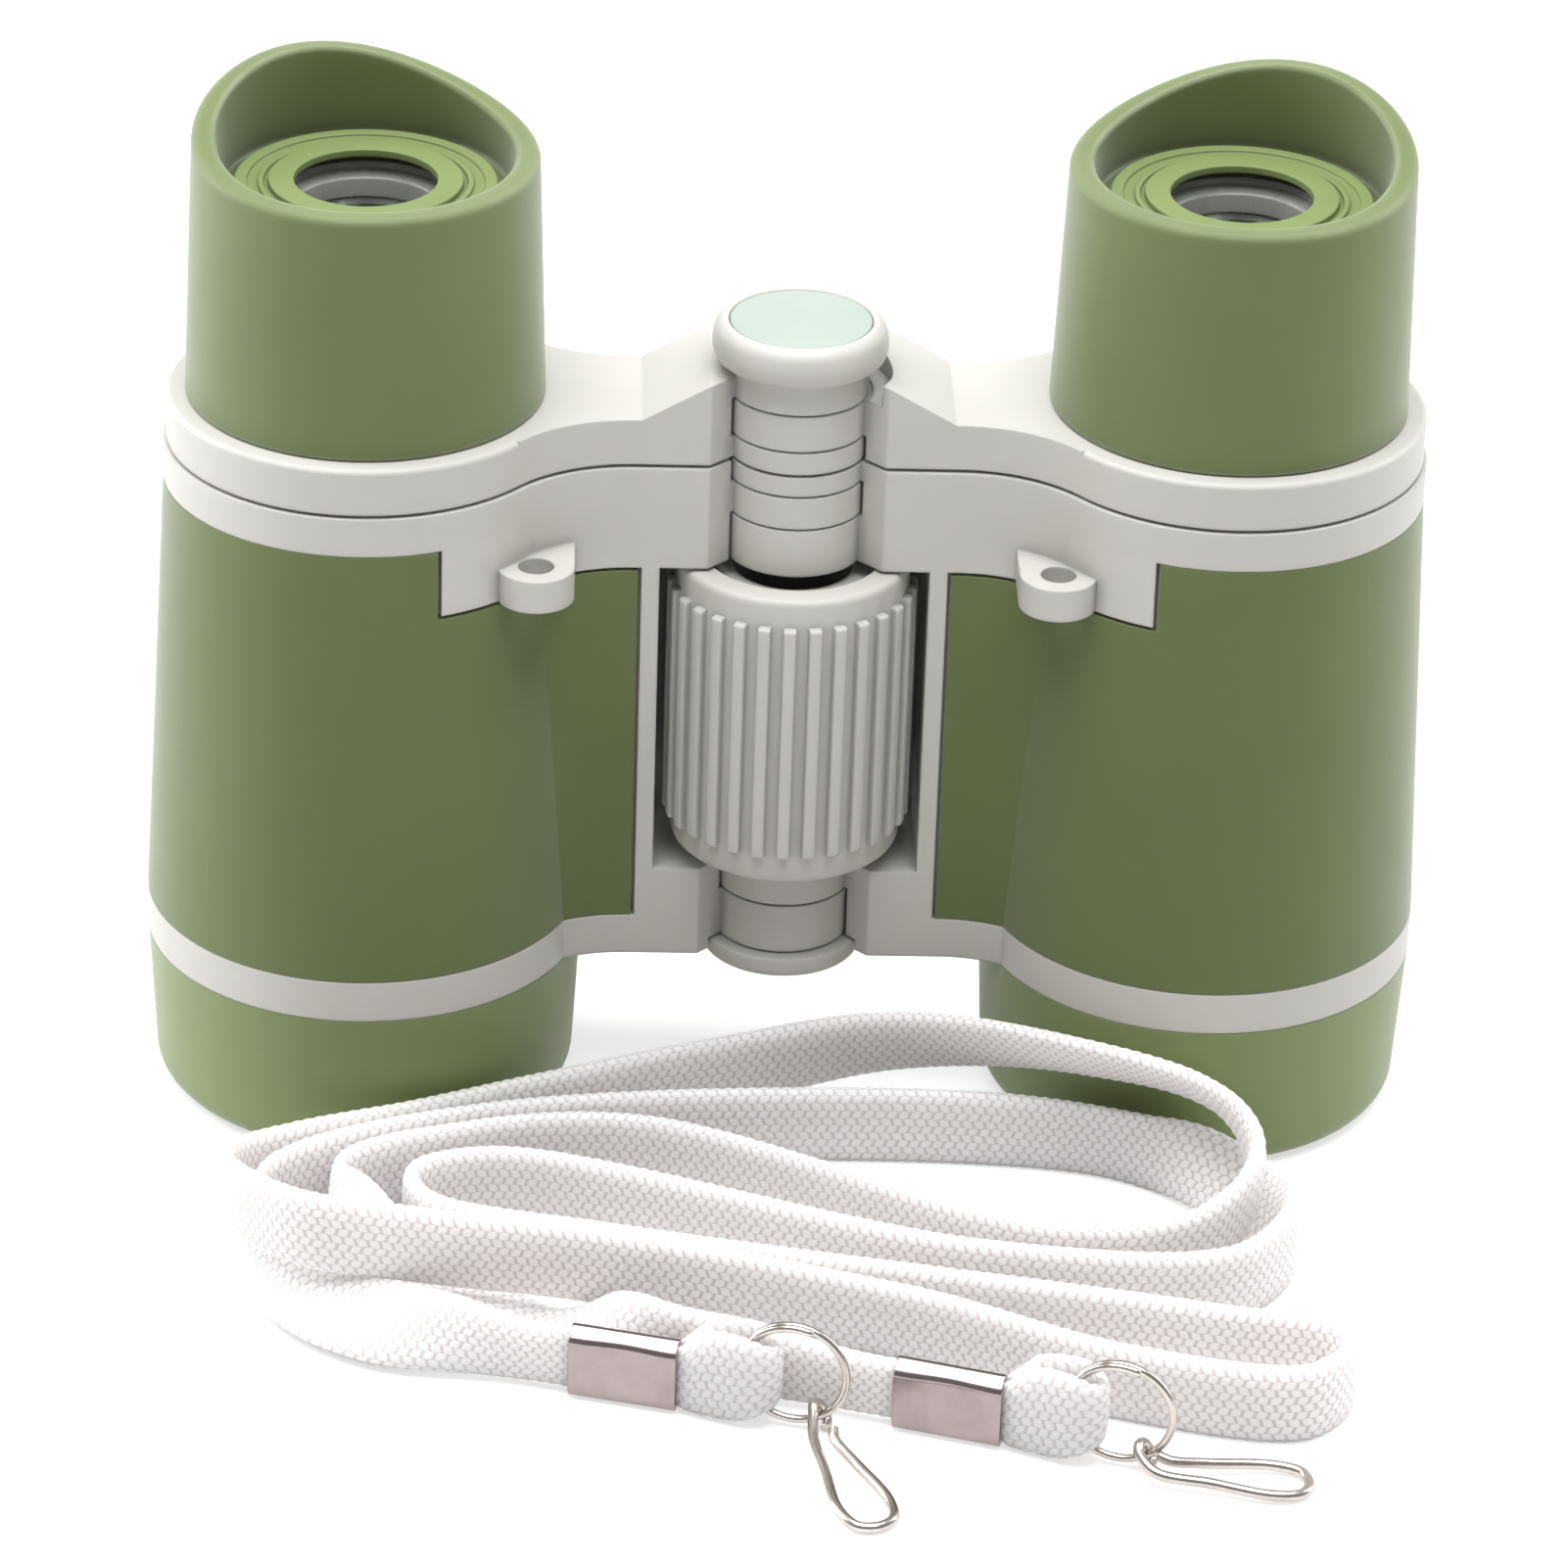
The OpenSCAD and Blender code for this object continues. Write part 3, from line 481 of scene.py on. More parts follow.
@dataclass(frozen=True)
class Braid:
    """Flat white braid: slanted stitches in staggered columns that run along the strap, painted shade
    between them.
    """

    name: str
    yarn: Colour
    # Darker tone of the low places between stitches: painted shade
    painted_pit_shade: Colour
    stitch: float = 1.0
    column: float = 0.74
    slant: float = 0.22
    relief_depth: float = 0.1
    relief_share: float = 0.75
    fibre_size: float = 0.16
    fibre_relief: float = 0.22
    fibre_gain: float = 0.25
    stitch_gain: float = 2.6
    soil_size: float = 9.0
    soil_gain: float = 0.5
    soil_least: float = 0.15
    soil_tone: float = 0.95
    roughness: float = 0.72
    crown_gloss: float = 0.22
    sheen: float = 0.3
    sheen_roughness: float = 0.4
    refraction: float = 1.45
    bleed: Colour = (1.0, 0.97, 0.95)
    bleed_reach: float = 4.0
    bleed_share: float = 0.9

    def height(self, along: Array, around: Array) -> Array:
        """Height of the stitches from nought to one.

        With c the place across a column from -1/2 to 1/2, and o one in odd columns and nought in
        even ones, a stitch's phase is along / stitch + o / 2 + (2 o - 1) * slant * c. The height
        is the root of 1 - 4 c^2, times (1 + cos of the phase's full turns) / 2.

        Args:
            along: Distance along the strap in millimetres.
            around: Distance round the strap in millimetres.

        Returns:
            The height for each pair.
        """
        lane = np.floor(around / self.column)
        across = around / self.column - lane - 0.5
        odd = lane % 2
        phase = along / self.stitch + odd / 2 + (odd * 2 - 1) * self.slant * across
        return np.sqrt(np.clip(1 - 4 * across**2, 0, 1)) * (0.5 + 0.5 * np.cos(2 * np.pi * phase))

    def make(self) -> Material:
        """Build the material, with the same stitches as height() worked out in nodes.

        Returns:
            The material.
        """
        material, bench = new_bench(self.name)
        uv = bench.node("ShaderNodeUVMap", {"uv_map": "strap"}, {})
        along = bench.node("ShaderNodeSeparateXYZ", {}, {"Vector": uv}, out="X")
        around = bench.node("ShaderNodeSeparateXYZ", {}, {"Vector": uv}, out="Y")
        lane = (around / self.column).floor()
        across = around / self.column - lane - 0.5
        odd = lane % 2.0
        phase = along / self.stitch + odd * 0.5 + (odd * 2.0 - 1.0) * across * self.slant
        crown = (1.0 - across * across * 4.0).clamped() ** 0.5
        stitch = crown * ((phase * (2 * math.pi)).cosine() * 0.5 + 0.5)
        at = bench.position()
        fibre = bench.noise(at, self.fibre_size, detail=3.0, rough=0.7)
        soiled = bench.noise(at, self.soil_size, detail=3.0)
        relief = stitch + fibre * self.fibre_relief
        # Painted shade: the lower the braid between stitches, the more it takes the darker tone
        raised = (stitch * self.stitch_gain + fibre * self.fibre_gain).clamped()
        soil = (soiled * self.soil_gain - self.soil_least).clamped()
        tone = bench.blend(raised, linear(self.painted_pit_shade), linear(self.yarn))
        tone = bench.blend(soil, tone, dimmed(self.yarn, self.soil_tone))
        bench.principled({
            "Base Color": tone, "Roughness": self.roughness - stitch * self.crown_gloss,
            "Normal": bench.bump(relief, self.relief_depth, self.relief_share),
            "Sheen Weight": self.sheen, "Sheen Roughness": self.sheen_roughness,
            "Subsurface Weight": self.bleed_share, "Subsurface Radius": self.bleed,
            "Subsurface Scale": self.bleed_reach * MM, "IOR": self.refraction,
        })
        return material


@dataclass
class Skin:
    """A surface on a grid of points, in millimetres.

    Rows run along the first axis and columns along the second. The last column joins the first.
    Closed rows do so too, and a capped surface closes its first and last rows with a face.
    """

    points: Array
    rows_close: bool = False
    capped: bool = False
    along: Array | None = None
    around: Array | None = None

    def mesh(self, name: str) -> bpy.types.Mesh:
        """Turn the grid into a welded mesh with smooth faces that point outwards.

        Args:
            name: Name of the mesh.

        Returns:
            The mesh, in metres.
        """
        rows, columns = self.points.shape[:2]
        strips = rows if self.rows_close else rows - 1
        row, column = np.meshgrid(np.arange(strips), np.arange(columns), indexing="ij")
        row = row.reshape(-1, 1) + np.array([0, 0, 1, 1])
        column = column.reshape(-1, 1) + np.array([0, 1, 1, 0])
        faces = ((row % rows) * columns + column % columns).tolist()
        if self.capped:
            first = np.arange(columns)
            faces += [first.tolist(), (first + (rows - 1) * columns).tolist()]
        mesh = bpy.data.meshes.new(name)
        mesh.from_pydata((self.points.reshape(-1, 3) * MM).tolist(), [], faces)
        if self.along is not None and self.around is not None:
            corners = np.stack([self.along[row], self.around[column]], -1).reshape(-1, 2)
            corners = np.vstack([corners, np.zeros((2 * columns * self.capped, 2))])
            mesh.uv_layers.new(name="strap").data.foreach_set("uv", corners.ravel())
        weld(mesh)
        return mesh


def weld(mesh: bpy.types.Mesh) -> None:
    """Merge a mesh's doubled points, turn its faces outwards and shade it smooth between sharp edges.

    Args:
        mesh: The mesh, which is changed in place.
    """
    work = bmesh.new()
    work.from_mesh(mesh)
    bmesh.ops.remove_doubles(work, verts=work.verts, dist=WELD)
    bmesh.ops.recalc_face_normals(work, faces=work.faces)
    work.to_mesh(mesh)
    work.free()
    mesh.polygons.foreach_set("use_smooth", np.ones(len(mesh.polygons), bool))
    mesh.set_sharp_from_angle(angle=SHARP)


def place(
    mesh: bpy.types.Mesh, finish: Material, body: str, nodes: Sequence[str]
) -> bpy.types.Object:
    """Put a mesh into the scene as a piece of the object.

    Args:
        mesh: The mesh, already in its place.
        finish: Its material.
        body: Body that it rides on.
        nodes: CAD nodes that it stands for.

    Returns:
        The piece.
    """
    piece = bpy.data.objects.new(mesh.name, mesh)
    bpy.context.scene.collection.objects.link(piece)
    mesh.materials.clear()
    mesh.materials.append(finish)
    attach(piece, body)
    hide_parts(*nodes)
    LOG.info("%s: %d faces, rides on %s", piece.name, len(mesh.polygons), body)
    return piece


def dress(node: str, finish: Material) -> None:
    """Give a CAD node that stays a finish of its own.

    Args:
        node: Name of the node.
        finish: Its material.
    """
    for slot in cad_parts[node].material_slots:
        slot.material = finish
    LOG.info("%s: dressed with %s", node, finish.name)


def rounded(corners: Array, cuts: Array, steps: int = ROUND_STEPS) -> Array:
    """Round the corners of closed outlines.

    At corner P the outline leaves the edges at the cut length on both sides and follows the
    curve (1-t)^2 A + 2 t (1-t) P + t^2 B between these two points A and B.

    Args:
        corners: Corners, with any leading axes, then corner, then coordinate.
        cuts: Cut length at each corner.
        steps: Number of steps in a rounding.

    Returns:
        The rounded outlines, with the same leading axes.
    """
    def towards(other: Array) -> Array:
        """Point on the edge to a neighbour, a cut length away."""
        way = other - corners
        return corners + way * (cuts[:, None] / np.linalg.norm(way, axis=-1, keepdims=True))

    before, after = towards(np.roll(corners, 1, -2)), towards(np.roll(corners, -1, -2))
    t = np.linspace(0, 1, steps + 1)[:, None]
    start, turn, stop = (points[..., None, :] for points in (before, corners, after))
    curve = start * (1 - t) ** 2 + turn * 2 * t * (1 - t) + stop * t**2
    return curve.reshape(*corners.shape[:-2], -1, corners.shape[-1])


def lathe(radius: Array, height: Array, angle: Array, centre: Pair) -> Skin:
    """Surface about an upright axis: radius r, height z and angle a give (x + r cos a, y + r sin a, z).

    Args:
        radius: Radius of each row, at all angles or at each.
        height: Height of each row, at all angles or at each.
        angle: Angle of each column.
        centre: Place of the axis.

    Returns:
        The surface, closed both ways.
    """
    x, y = centre[0] + radius * np.cos(angle), centre[1] + radius * np.sin(angle)
    return Skin(np.stack([x, y, height + 0 * x], -1), rows_close=True)


def turned(outline: Array, centre: Pair, columns: int = 120) -> Skin:
    """Turn a closed outline about an upright axis.

    Args:
        outline: Radius and height of each point.
        centre: Place of the axis.
        columns: Number of steps round the axis.

    Returns:
        The turned surface.
    """
    angle = np.linspace(0, 2 * np.pi, columns, endpoint=False)
    return lathe(outline[:, :1], outline[:, 1:], angle, centre)


def profile(points: Sequence[Triple]) -> Array:
    """Rounded outline from points of radius, height and corner cut."""
    data = np.array(points, float)
    return rounded(data[:, :2], data[:, 2])


def smooth_path(knots: Array, per_span: int) -> Array:
    """Smooth curve through knots whose parameter grows by the root of their distances.

    Args:
        knots: Points; the first three coordinates give the distances.
        per_span: Steps between neighbouring knots.

    Returns:
        The points of the curve.
    """
    ends = np.vstack([2 * knots[0] - knots[1], knots, 2 * knots[-1] - knots[-2]])
    spans = len(ends) - 3
    p = np.stack([ends[k:k + spans] for k in range(4)])
    root = np.sqrt(np.linalg.norm(np.diff(p[..., :3], axis=0), axis=-1))
    t = np.vstack([np.zeros(spans), np.cumsum(root, axis=0)])
    u = t[1] + (t[2] - t[1]) * np.linspace(0, 1, per_span, endpoint=False)[:, None]

    def between(a: Array, b: Array, low: Array, high: Array) -> Array:
        """Point between two curves where the parameter runs from low to high."""
        return a + (b - a) * ((u - low) / (high - low))[..., None]

    first = [between(p[k], p[k + 1], t[k], t[k + 1]) for k in range(3)]
    second = [between(first[k], first[k + 1], t[k], t[k + 2]) for k in range(2)]
    curve = between(second[0], second[1], t[1], t[2])
    return np.vstack([curve.transpose(1, 0, 2).reshape(-1, knots.shape[1]), knots[-1:]])


def run(points: Array) -> Array:
    """Distance along a path at each of its points."""
    return np.concatenate([[0], np.cumsum(np.linalg.norm(np.diff(points[:, :3], axis=0), axis=1))])


def even_steps(path: Array, count: int) -> Array:
    """Points at even distances along a path.

    Args:
        path: Points of the path; the first three coordinates give the distances.
        count: Number of points wanted.

    Returns:
        The evenly spaced points.
    """
    at = run(path)
    want = np.linspace(0, at[-1], count)
    return np.stack([np.interp(want, at, column) for column in path.T], 1)


def unit(vectors: Array) -> Array:
    """Vectors of length one in the same directions."""
    return vectors / np.linalg.norm(vectors, axis=-1, keepdims=True)


def wire(path: Array, radius: float, across: Array, columns: int = 14, end_share: float = 0.7) -> Skin:
    """Round wire: circles across a path, smaller at its ends.

    A circle's point at angle a is the path's point plus radius * (side cos a + other sin a), where
    side and other stand square to the path and to each other.

    Args:
        path: Points of the wire's middle.
        radius: Radius of the wire.
        across: A direction that the path never runs along.
        columns: Number of points in a circle.
        end_share: Share of the radius that is left at the ends.

    Returns:
        The wire with closed ends.
    """
    way = unit(np.gradient(path, axis=0))
    side = unit(np.cross(way, across))
    other = np.cross(way, side)
    angle = np.linspace(0, 2 * np.pi, columns, endpoint=False)[:, None]
    circle = side[:, None] * np.cos(angle) + other[:, None] * np.sin(angle)
    ends = np.ones(len(path))
    ends[[0, -1]] = end_share
    return Skin(path[:, None] + radius * ends[:, None, None] * circle, capped=True)


@dataclass(frozen=True)
class Lamp:
    """Rectangular area lamp: place and size in metres, power in watts."""

    name: str
    at: Triple
    size: Pair
    watts: float
    colour: Colour = (0.97, 0.985, 1.0)

    def hang(self, aim: Vector) -> None:
        """Hang the lamp so that it shines at a point.

        Args:
            aim: The point, in metres.
        """
        data = bpy.data.lights.new(self.name, "AREA")
        data.shape, data.size, data.size_y, data.energy = "RECTANGLE", *self.size, self.watts
        data.color = self.colour
        lamp = bpy.data.objects.new(self.name, data)
        bpy.context.scene.collection.objects.link(lamp)
        lamp.location = self.at
        lamp.rotation_euler = (aim - Vector(self.at)).to_track_quat("-Z", "Y").to_euler()


# A large softbox overhead and a strip at each side
LAMPS = (
    Lamp("softbox", (-0.02, -0.1, 0.75), (0.7, 0.6), 9.1),
    Lamp("strip_left", (-0.62, 0.16, 0.3), (0.22, 0.6), 4.2),
    Lamp("strip_right", (0.62, 0.2, 0.32), (0.22, 0.6), 2.3),
)


@dataclass
class Studio:
    """Camera at the photograph's angle, pale floor and soft light.

    The camera's place and lens are in millimetres. Its near limit, the floor's size and the point
    that the lamps shine at are in metres, and colours are linear.
    """

    azimuth: float = -2.3
    elevation: float = 28.13
    roll: float = 1.97
    distance: float = 577.38
    target: Triple = (-0.12, -1.73, 28.35)
    lens_per_width: float = 4.29726
    sensor: float = 36.0
    clip_start: float = 0.01
    floor_size: float = 6.0
    floor_lit: Linear = (0.5, 0.495, 0.49, 1)
    floor_glow: float = 0.6
    floor_bounce: Linear = (0.62, 0.616, 0.612, 1)
    aim: Triple = (0, 0, 0.04)
    sky: Linear = (1, 0.995, 0.985, 1)
    sky_level: float = 0.5
    sky_tilt: float = 0.2
    sky_back: float = 0.25

    def build(self) -> None:
        """Set up camera, floor, lamps and world."""
        self._camera()
        self._floor()
        for lamp in LAMPS:
            lamp.hang(Vector(self.aim))
        self._world()
        bpy.context.scene.view_settings.view_transform = "Standard"

    def _camera(self) -> None:
        """Place the camera: it stands off the target along its own Z axis, turned, tilted and rolled."""
        turns = (self.azimuth, "Z"), (90 - self.elevation, "X"), (self.roll, "Z")
        turn, tilt, roll = (Matrix.Rotation(math.radians(angle), 4, axis) for angle, axis in turns)
        data = bpy.data.cameras.new("camera")
        data.sensor_width = self.sensor
        data.lens = self.sensor * self.lens_per_width
        data.clip_start = self.clip_start
        camera = bpy.data.objects.new("camera", data)
        bpy.context.scene.collection.objects.link(camera)
        places = self.target, (0, 0, self.distance)
        target, back = (Matrix.Translation(Vector(at) * MM) for at in places)
        camera.matrix_world = target @ turn @ tilt @ roll @ back
        bpy.context.scene.camera = camera

    def _floor(self) -> None:
        """Lay a white floor that keeps the shadow: the camera sees its lit colour and a glow."""
        half = self.floor_size / 2
        mesh = bpy.data.meshes.new("floor")
        corners = [(-half, -half, 0), (half, -half, 0), (half, half, 0), (-half, half, 0)]
        mesh.from_pydata(corners, [], [(0, 1, 2, 3)])
        floor = bpy.data.objects.new("floor", mesh)
        bpy.context.scene.collection.objects.link(floor)
        material, bench = new_bench("studio_floor")
        seen = [bench.node("ShaderNodeLightPath", {}, {}, out=ray) for ray in
                ("Is Camera Ray", "Is Glossy Ray", "Is Transmission Ray")]
        mask = (seen[0] + seen[1] + seen[2]).clamped()
        lit = bench.node("ShaderNodeBsdfDiffuse", {}, {"Color": self.floor_lit})
        glow = bench.node("ShaderNodeEmission", {}, {"Color": (1, 1, 1, 1), "Strength": self.floor_glow})
        both = bench.node("ShaderNodeAddShader", {}, {0: lit, 1: glow})
        bounce = bench.node("ShaderNodeBsdfDiffuse", {}, {"Color": self.floor_bounce})
        bench.surface(bench.node("ShaderNodeMixShader", {}, {0: mask, 1: bounce, 2: both}))
        mesh.materials.append(material)

    def _world(self) -> None:
        """Surround the object with pale walls, brightest behind it and darker on the camera's side."""
        world = bpy.data.worlds.new("studio")
        bpy.context.scene.world = world
        bench = Bench(world)
        way = bench.node("ShaderNodeTexCoord", {}, {}, out="Generated")
        depth = bench.node("ShaderNodeSeparateXYZ", {}, {"Vector": way}, out="Y")
        back = depth.clamped()
        light = depth * self.sky_tilt + self.sky_level + back * back * self.sky_back
        glow = bench.node("ShaderNodeBackground", {}, {"Color": self.sky, "Strength": light})
        bench.surface(glow, "ShaderNodeOutputWorld")


# Route of the strap from crimp to crimp, in metres: x, y, height of its lower edge; lean in degrees
STRAP_ROUTE = (
    (-0.0134, -0.0544, 0.0007, 0), (-0.01813, -0.053135, 0.00059, 0), (-0.022, -0.0521, 0.0005, 0),
    (-0.034, -0.0479, 0.0001, -50), (-0.0406, -0.042, 0.0001, -50), (-0.0436, -0.031, 0.0001, 0),
    (-0.027, -0.0208, 0.0001, 0), (0.016, -0.0172, 0.0001, 0), (0.031, -0.0208, 0.0001, 0),
    (0.0395, -0.027, 0.0001, 50), (0.042, -0.034, 0.0001, 0), (0.0365, -0.0415, 0.0001, 0),
    (0.016, -0.041, 0.0001, 0), (-0.024, -0.0273, 0.0001, 0), (-0.031, -0.03, 0.0001, 0),
    (-0.0295, -0.0346, 0.0001, 0), (-0.014, -0.0394, 0.0001, 0), (0.033, -0.05, 0.0001, 0),
    (0.045, -0.0535, 0.0001, 0), (0.0415, -0.059, 0.0001, 0), (0.027, -0.0566, 0.0001, 0),
    (0.008, -0.0476, 0.0001, 0), (-0.016, -0.0439, 0.0026, 0), (-0.029, -0.0446, 0.0046, 0),
    (-0.04, -0.0434, 0.0056, 0), (-0.0462, -0.035, 0.0038, 0), (-0.0448, -0.0265, 0.0006, 0),
    (-0.031, -0.0199, 0.0001, 0), (-0.006, -0.0105, 0.001, 0), (0.01, -0.012, 0.0055, -20),
    (0.025, -0.0188, 0.0086, -40), (0.036, -0.0234, 0.0076, -40), (0.0393, -0.03, 0.004, 0),
    (0.0345, -0.0366, 0.001, 0), (0.022, -0.0382, 0.0001, 0), (-0.012, -0.0219, 0.0001, 0),
    (-0.027, -0.0234, 0.0001, 0), (-0.0372, -0.0295, 0.0001, 0), (-0.0344, -0.0374, 0.0026, 74),
    (-0.02, -0.0469, 0.0003, 86), (-0.011, -0.0512, 0.0001, 10), (0, -0.0548, 0.0005, 0),
    (0.0126, -0.0588, 0.0007, 0),
)


@dataclass
class Ribbon:
    """Section of the flat braid, and the sweep of that section along a path."""

    braid: Braid
    width: float = 7.0
    thick: float = 1.6
    squareness: float = 3.4
    lanes: int = 22
    relief: float = 0.09
    outline_steps: int = 4000

    def section(self) -> tuple[Array, Array, Array]:
        """Outline of the section as shares of its half width and half thickness.

        The outline is x^n + y^n = 1 with n the squareness, stepped evenly along the real outline
        with two points to a column of stitches.

        Returns:
            The shares, the outward directions in millimetres, and the distance round the outline.
        """
        angle = np.linspace(0, 2 * np.pi, self.outline_steps + 1)
        power = 2 / self.squareness
        shape = np.stack([np.sign(f) * np.abs(f) ** power for f in (np.cos(angle), np.sin(angle))], 1)
        half = np.array([self.width, self.thick]) / 2
        columns = 2 * self.lanes
        even = even_steps(np.column_stack([shape * half, np.zeros(len(shape))]), columns + 1)[:-1, :2]
        step = np.roll(even, -1, 0) - np.roll(even, 1, 0)
        outward = unit(np.stack([step[:, 1], -step[:, 0]], 1))
        return even / half, outward, np.arange(columns + 1) * self.braid.column / 2

    def rings(self, length: float) -> int:
        """Number of rings for a length, two to a stitch."""
        return 2 * round(length / self.braid.stitch) + 1

    def sweep(self, centre: Array, wide: Array, thin: Array, half: Array, depth: Array) -> Skin:
        """Carry the section along a path and raise its stitches.

        A point is the middle plus the section's shares of half width and half thickness. It is
        moved outwards by relief times the stitch's height less one half.

        Args:
            centre: Middle of the braid at each ring.
            wide: Direction of its width.
            thin: Direction of its thickness.
            half: Half its width.
            depth: Half its thickness.

        Returns:
            The braid with closed ends and its stitch coordinates.
        """
        share, outward, around = self.section()
        along = np.arange(len(centre)) * self.braid.stitch / 2
        rise = (self.braid.height(along[:, None], around[None, :-1]) - 0.5) * self.relief
        across = half[:, None] * share[:, 0] + rise * outward[:, 0]
        through = depth[:, None] * share[:, 1] + rise * outward[:, 1]
        points = centre[:, None] + wide[:, None] * across[..., None] + thin[:, None] * through[..., None]
        return Skin(points, capped=True, along=along, around=around)


# Folded strap end, in millimetres out of the crimp: distance of a leg from the middle, the tip, and
# half width, half thickness and rise of its middle
FOLD_LEG = (
    (0.3, 0.42), (2.4, 0.42), (4.3, 0.42), (5.5, 0.74), (7.0, 0.96), (8.6, 1.16), (10.0, 1.38),
    (11.2, 1.36), (12.05, 0.9),
)
FOLD_TIP = 12.38
FOLD_HALF_WIDTH = (
    (0, 2.66), (4.4, 2.66), (5.4, 3.3), (6.8, 3.95), (8.4, 4.1), (9.8, 3.95), (11.0, 3.55),
    (11.9, 3.05), (12.5, 2.75),
)
FOLD_HALF_DEPTH = ((0, 0.4), (4.3, 0.4), (5.6, 0.58), (7.0, 0.62), (12.5, 0.6))
FOLD_RISE = ((0, 0), (4.4, 0), (7.4, 1.05), (12.5, 1.35))
# Split ring: share of its wire's length, and distance of the wire from the ring's plane
RING_DRIFT = ((0, -0.24), (0.28, -0.17), (0.72, 0.17), (1, 0.24))


@dataclass
class StrapEnd:
    """Crimp, folded end, split ring and wire hook at one end of the strap.

    Its own frame has X out of the crimp and Z up from the floor, with the crimp's middle at X = 0.
    """

    number: int
    at: Pair
    heading: float
    hook_heading: float
    middle: float = 3.4
    crimp_length: float = 9.0
    crimp_thick: float = 2.7
    crimp_height: float = 6.4
    crimp_wall: float = 0.45
    crimp_roof: float = 1.0
    crimp_edge: float = 0.18
    crimp_edge_steps: int = 4
    crimp_rows: int = 25
    crimp_rows_in: float = 0.2
    crimp_cuts: tuple[float, ...] = (0.9, 0.9, 0.45, 0.5, 0.45)
    crimp_cut_steps: int = 10
    press: float = 0.16
    press_end: float = 0.6
    press_edge: float = 0.5
    press_power: int = 4
    fold_steps: int = 16
    ring_x: float = 13.9
    ring_z: float = 5.05
    ring_radius: float = 4.3
    ring_wire: float = 0.33
    ring_turns: Pair = (70, 520)
    ring_steps: int = 150
    hook_at: float = 58.0
    hook_length: float = 13.5
    hook_round: float = 2.2
    hook_neck: float = 0.5
    hook_eye: float = 1.05
    hook_eye_turns: tuple[float, ...] = (-20, 30, 80, 130, 180, 225)
    hook_wire: float = 0.45
    hook_floor_gap: float = 0.1
    hook_shift: float = 0.25
    hook_steps: int = 14

    def to_world(self, points: Array) -> Array:
        """Turn points of this end's frame into the shared frame.

        Args:
            points: Points, with any leading axes.

        Returns:
            The points in the shared frame, with the same axes.
        """
        turn = math.radians(self.heading)
        x, y, z = np.moveaxis(points, -1, 0)
        return np.stack([
            self.at[0] + x * math.cos(turn) - y * math.sin(turn),
            self.at[1] + x * math.sin(turn) + y * math.cos(turn), z,
        ], -1)

    def piece(self, word: str, skin: Skin, finish: Material, body: str, slot: str) -> bpy.types.Object:
        """Place a surface of this end in the scene.

        Args:
            word: The node that it stands for, without number.
            skin: The surface in this end's frame.
            finish: Its material.
            body: Body that it rides on.
            slot: Material slot; not used.

        Returns:
            The piece.
        """
        skin.points = self.to_world(skin.points)
        node = f"strap_{word}_{self.number}"
        return place(skin.mesh(f"{node}_piece"), finish, body, [node])

    def build(
        self, ribbon: Ribbon, braid: Material, sheet: Material, bright: Material
    ) -> list[bpy.types.Object]:
        """Build the four pieces of this end.

        Args:
            ribbon: Section of the strap.
            braid: Finish of the braid.
            sheet: Finish of the crimp.
            bright: Finish of ring and hook.

        Returns:
            The pieces.
        """
        swinging = f"strap_end_{self.number}"
        return [
            self.piece("crimp", self.crimp(), sheet, "left_half", "nickel"),
            self.piece("loop", self.fold(ribbon), braid, "left_half", "strap_white"),
            self.piece("ring", self.ring(), bright, swinging, "nickel"),
            self.piece("hook", self.hook(), bright, swinging, "nickel"),
        ]

    def crimp(self) -> Skin:
        """Flattened sleeve with a roofed upper edge, carried round its wall's own outline.

        The wall's outline runs along the outside and back along the inside. The broad faces are
        hollowed where the tool pressed them, by press * (1 + cos(pi x / reach)) / 2 along the sleeve.
        A power of the height lets the hollow run out towards both edges.

        Returns:
            The sleeve.
        """
        half = self.crimp_length / 2
        sheet = self.crimp_wall
        edges = np.array([(-half, 0), (half, 0), (half, sheet), (-half, sheet)])
        wall = rounded(edges, np.full(4, self.crimp_edge), self.crimp_edge_steps)
        first, second, third, fourth = np.split(wall, 4)
        long = np.linspace(-1, 1, self.crimp_rows)[1:-1] * (half - self.crimp_rows_in)
        outside = np.column_stack([long, 0 * long])
        inside = np.column_stack([long[::-1], 0 * long + sheet])
        wall = np.vstack([first, outside, second, third, inside, fourth])
        x, inset = wall[:, :1], wall[:, 1:]
        y, z = self.crimp_thick / 2, self.crimp_height / 2
        roof = [(-y, -z), (y, -z), (y, z - self.crimp_roof), (0, z), (-y, z - self.crimp_roof)]
        ring = rounded(np.array(roof), np.array(self.crimp_cuts), self.crimp_cut_steps)
        press = self.press * (1 + np.cos(np.pi * np.clip(x / (half - self.press_end), -1, 1))) / 2
        edge = np.abs(ring[:, 1] / (z - self.press_edge)) ** self.press_power
        pinch = press * np.clip(1 - edge, 0, 1)
        across = ring[:, 0] * (1 - inset / y) - np.sign(ring[:, 0]) * pinch
        tall = ring[:, 1] * (1 - inset / z) + self.middle
        return Skin(np.stack([x + 0 * across, across, tall], -1), rows_close=True)

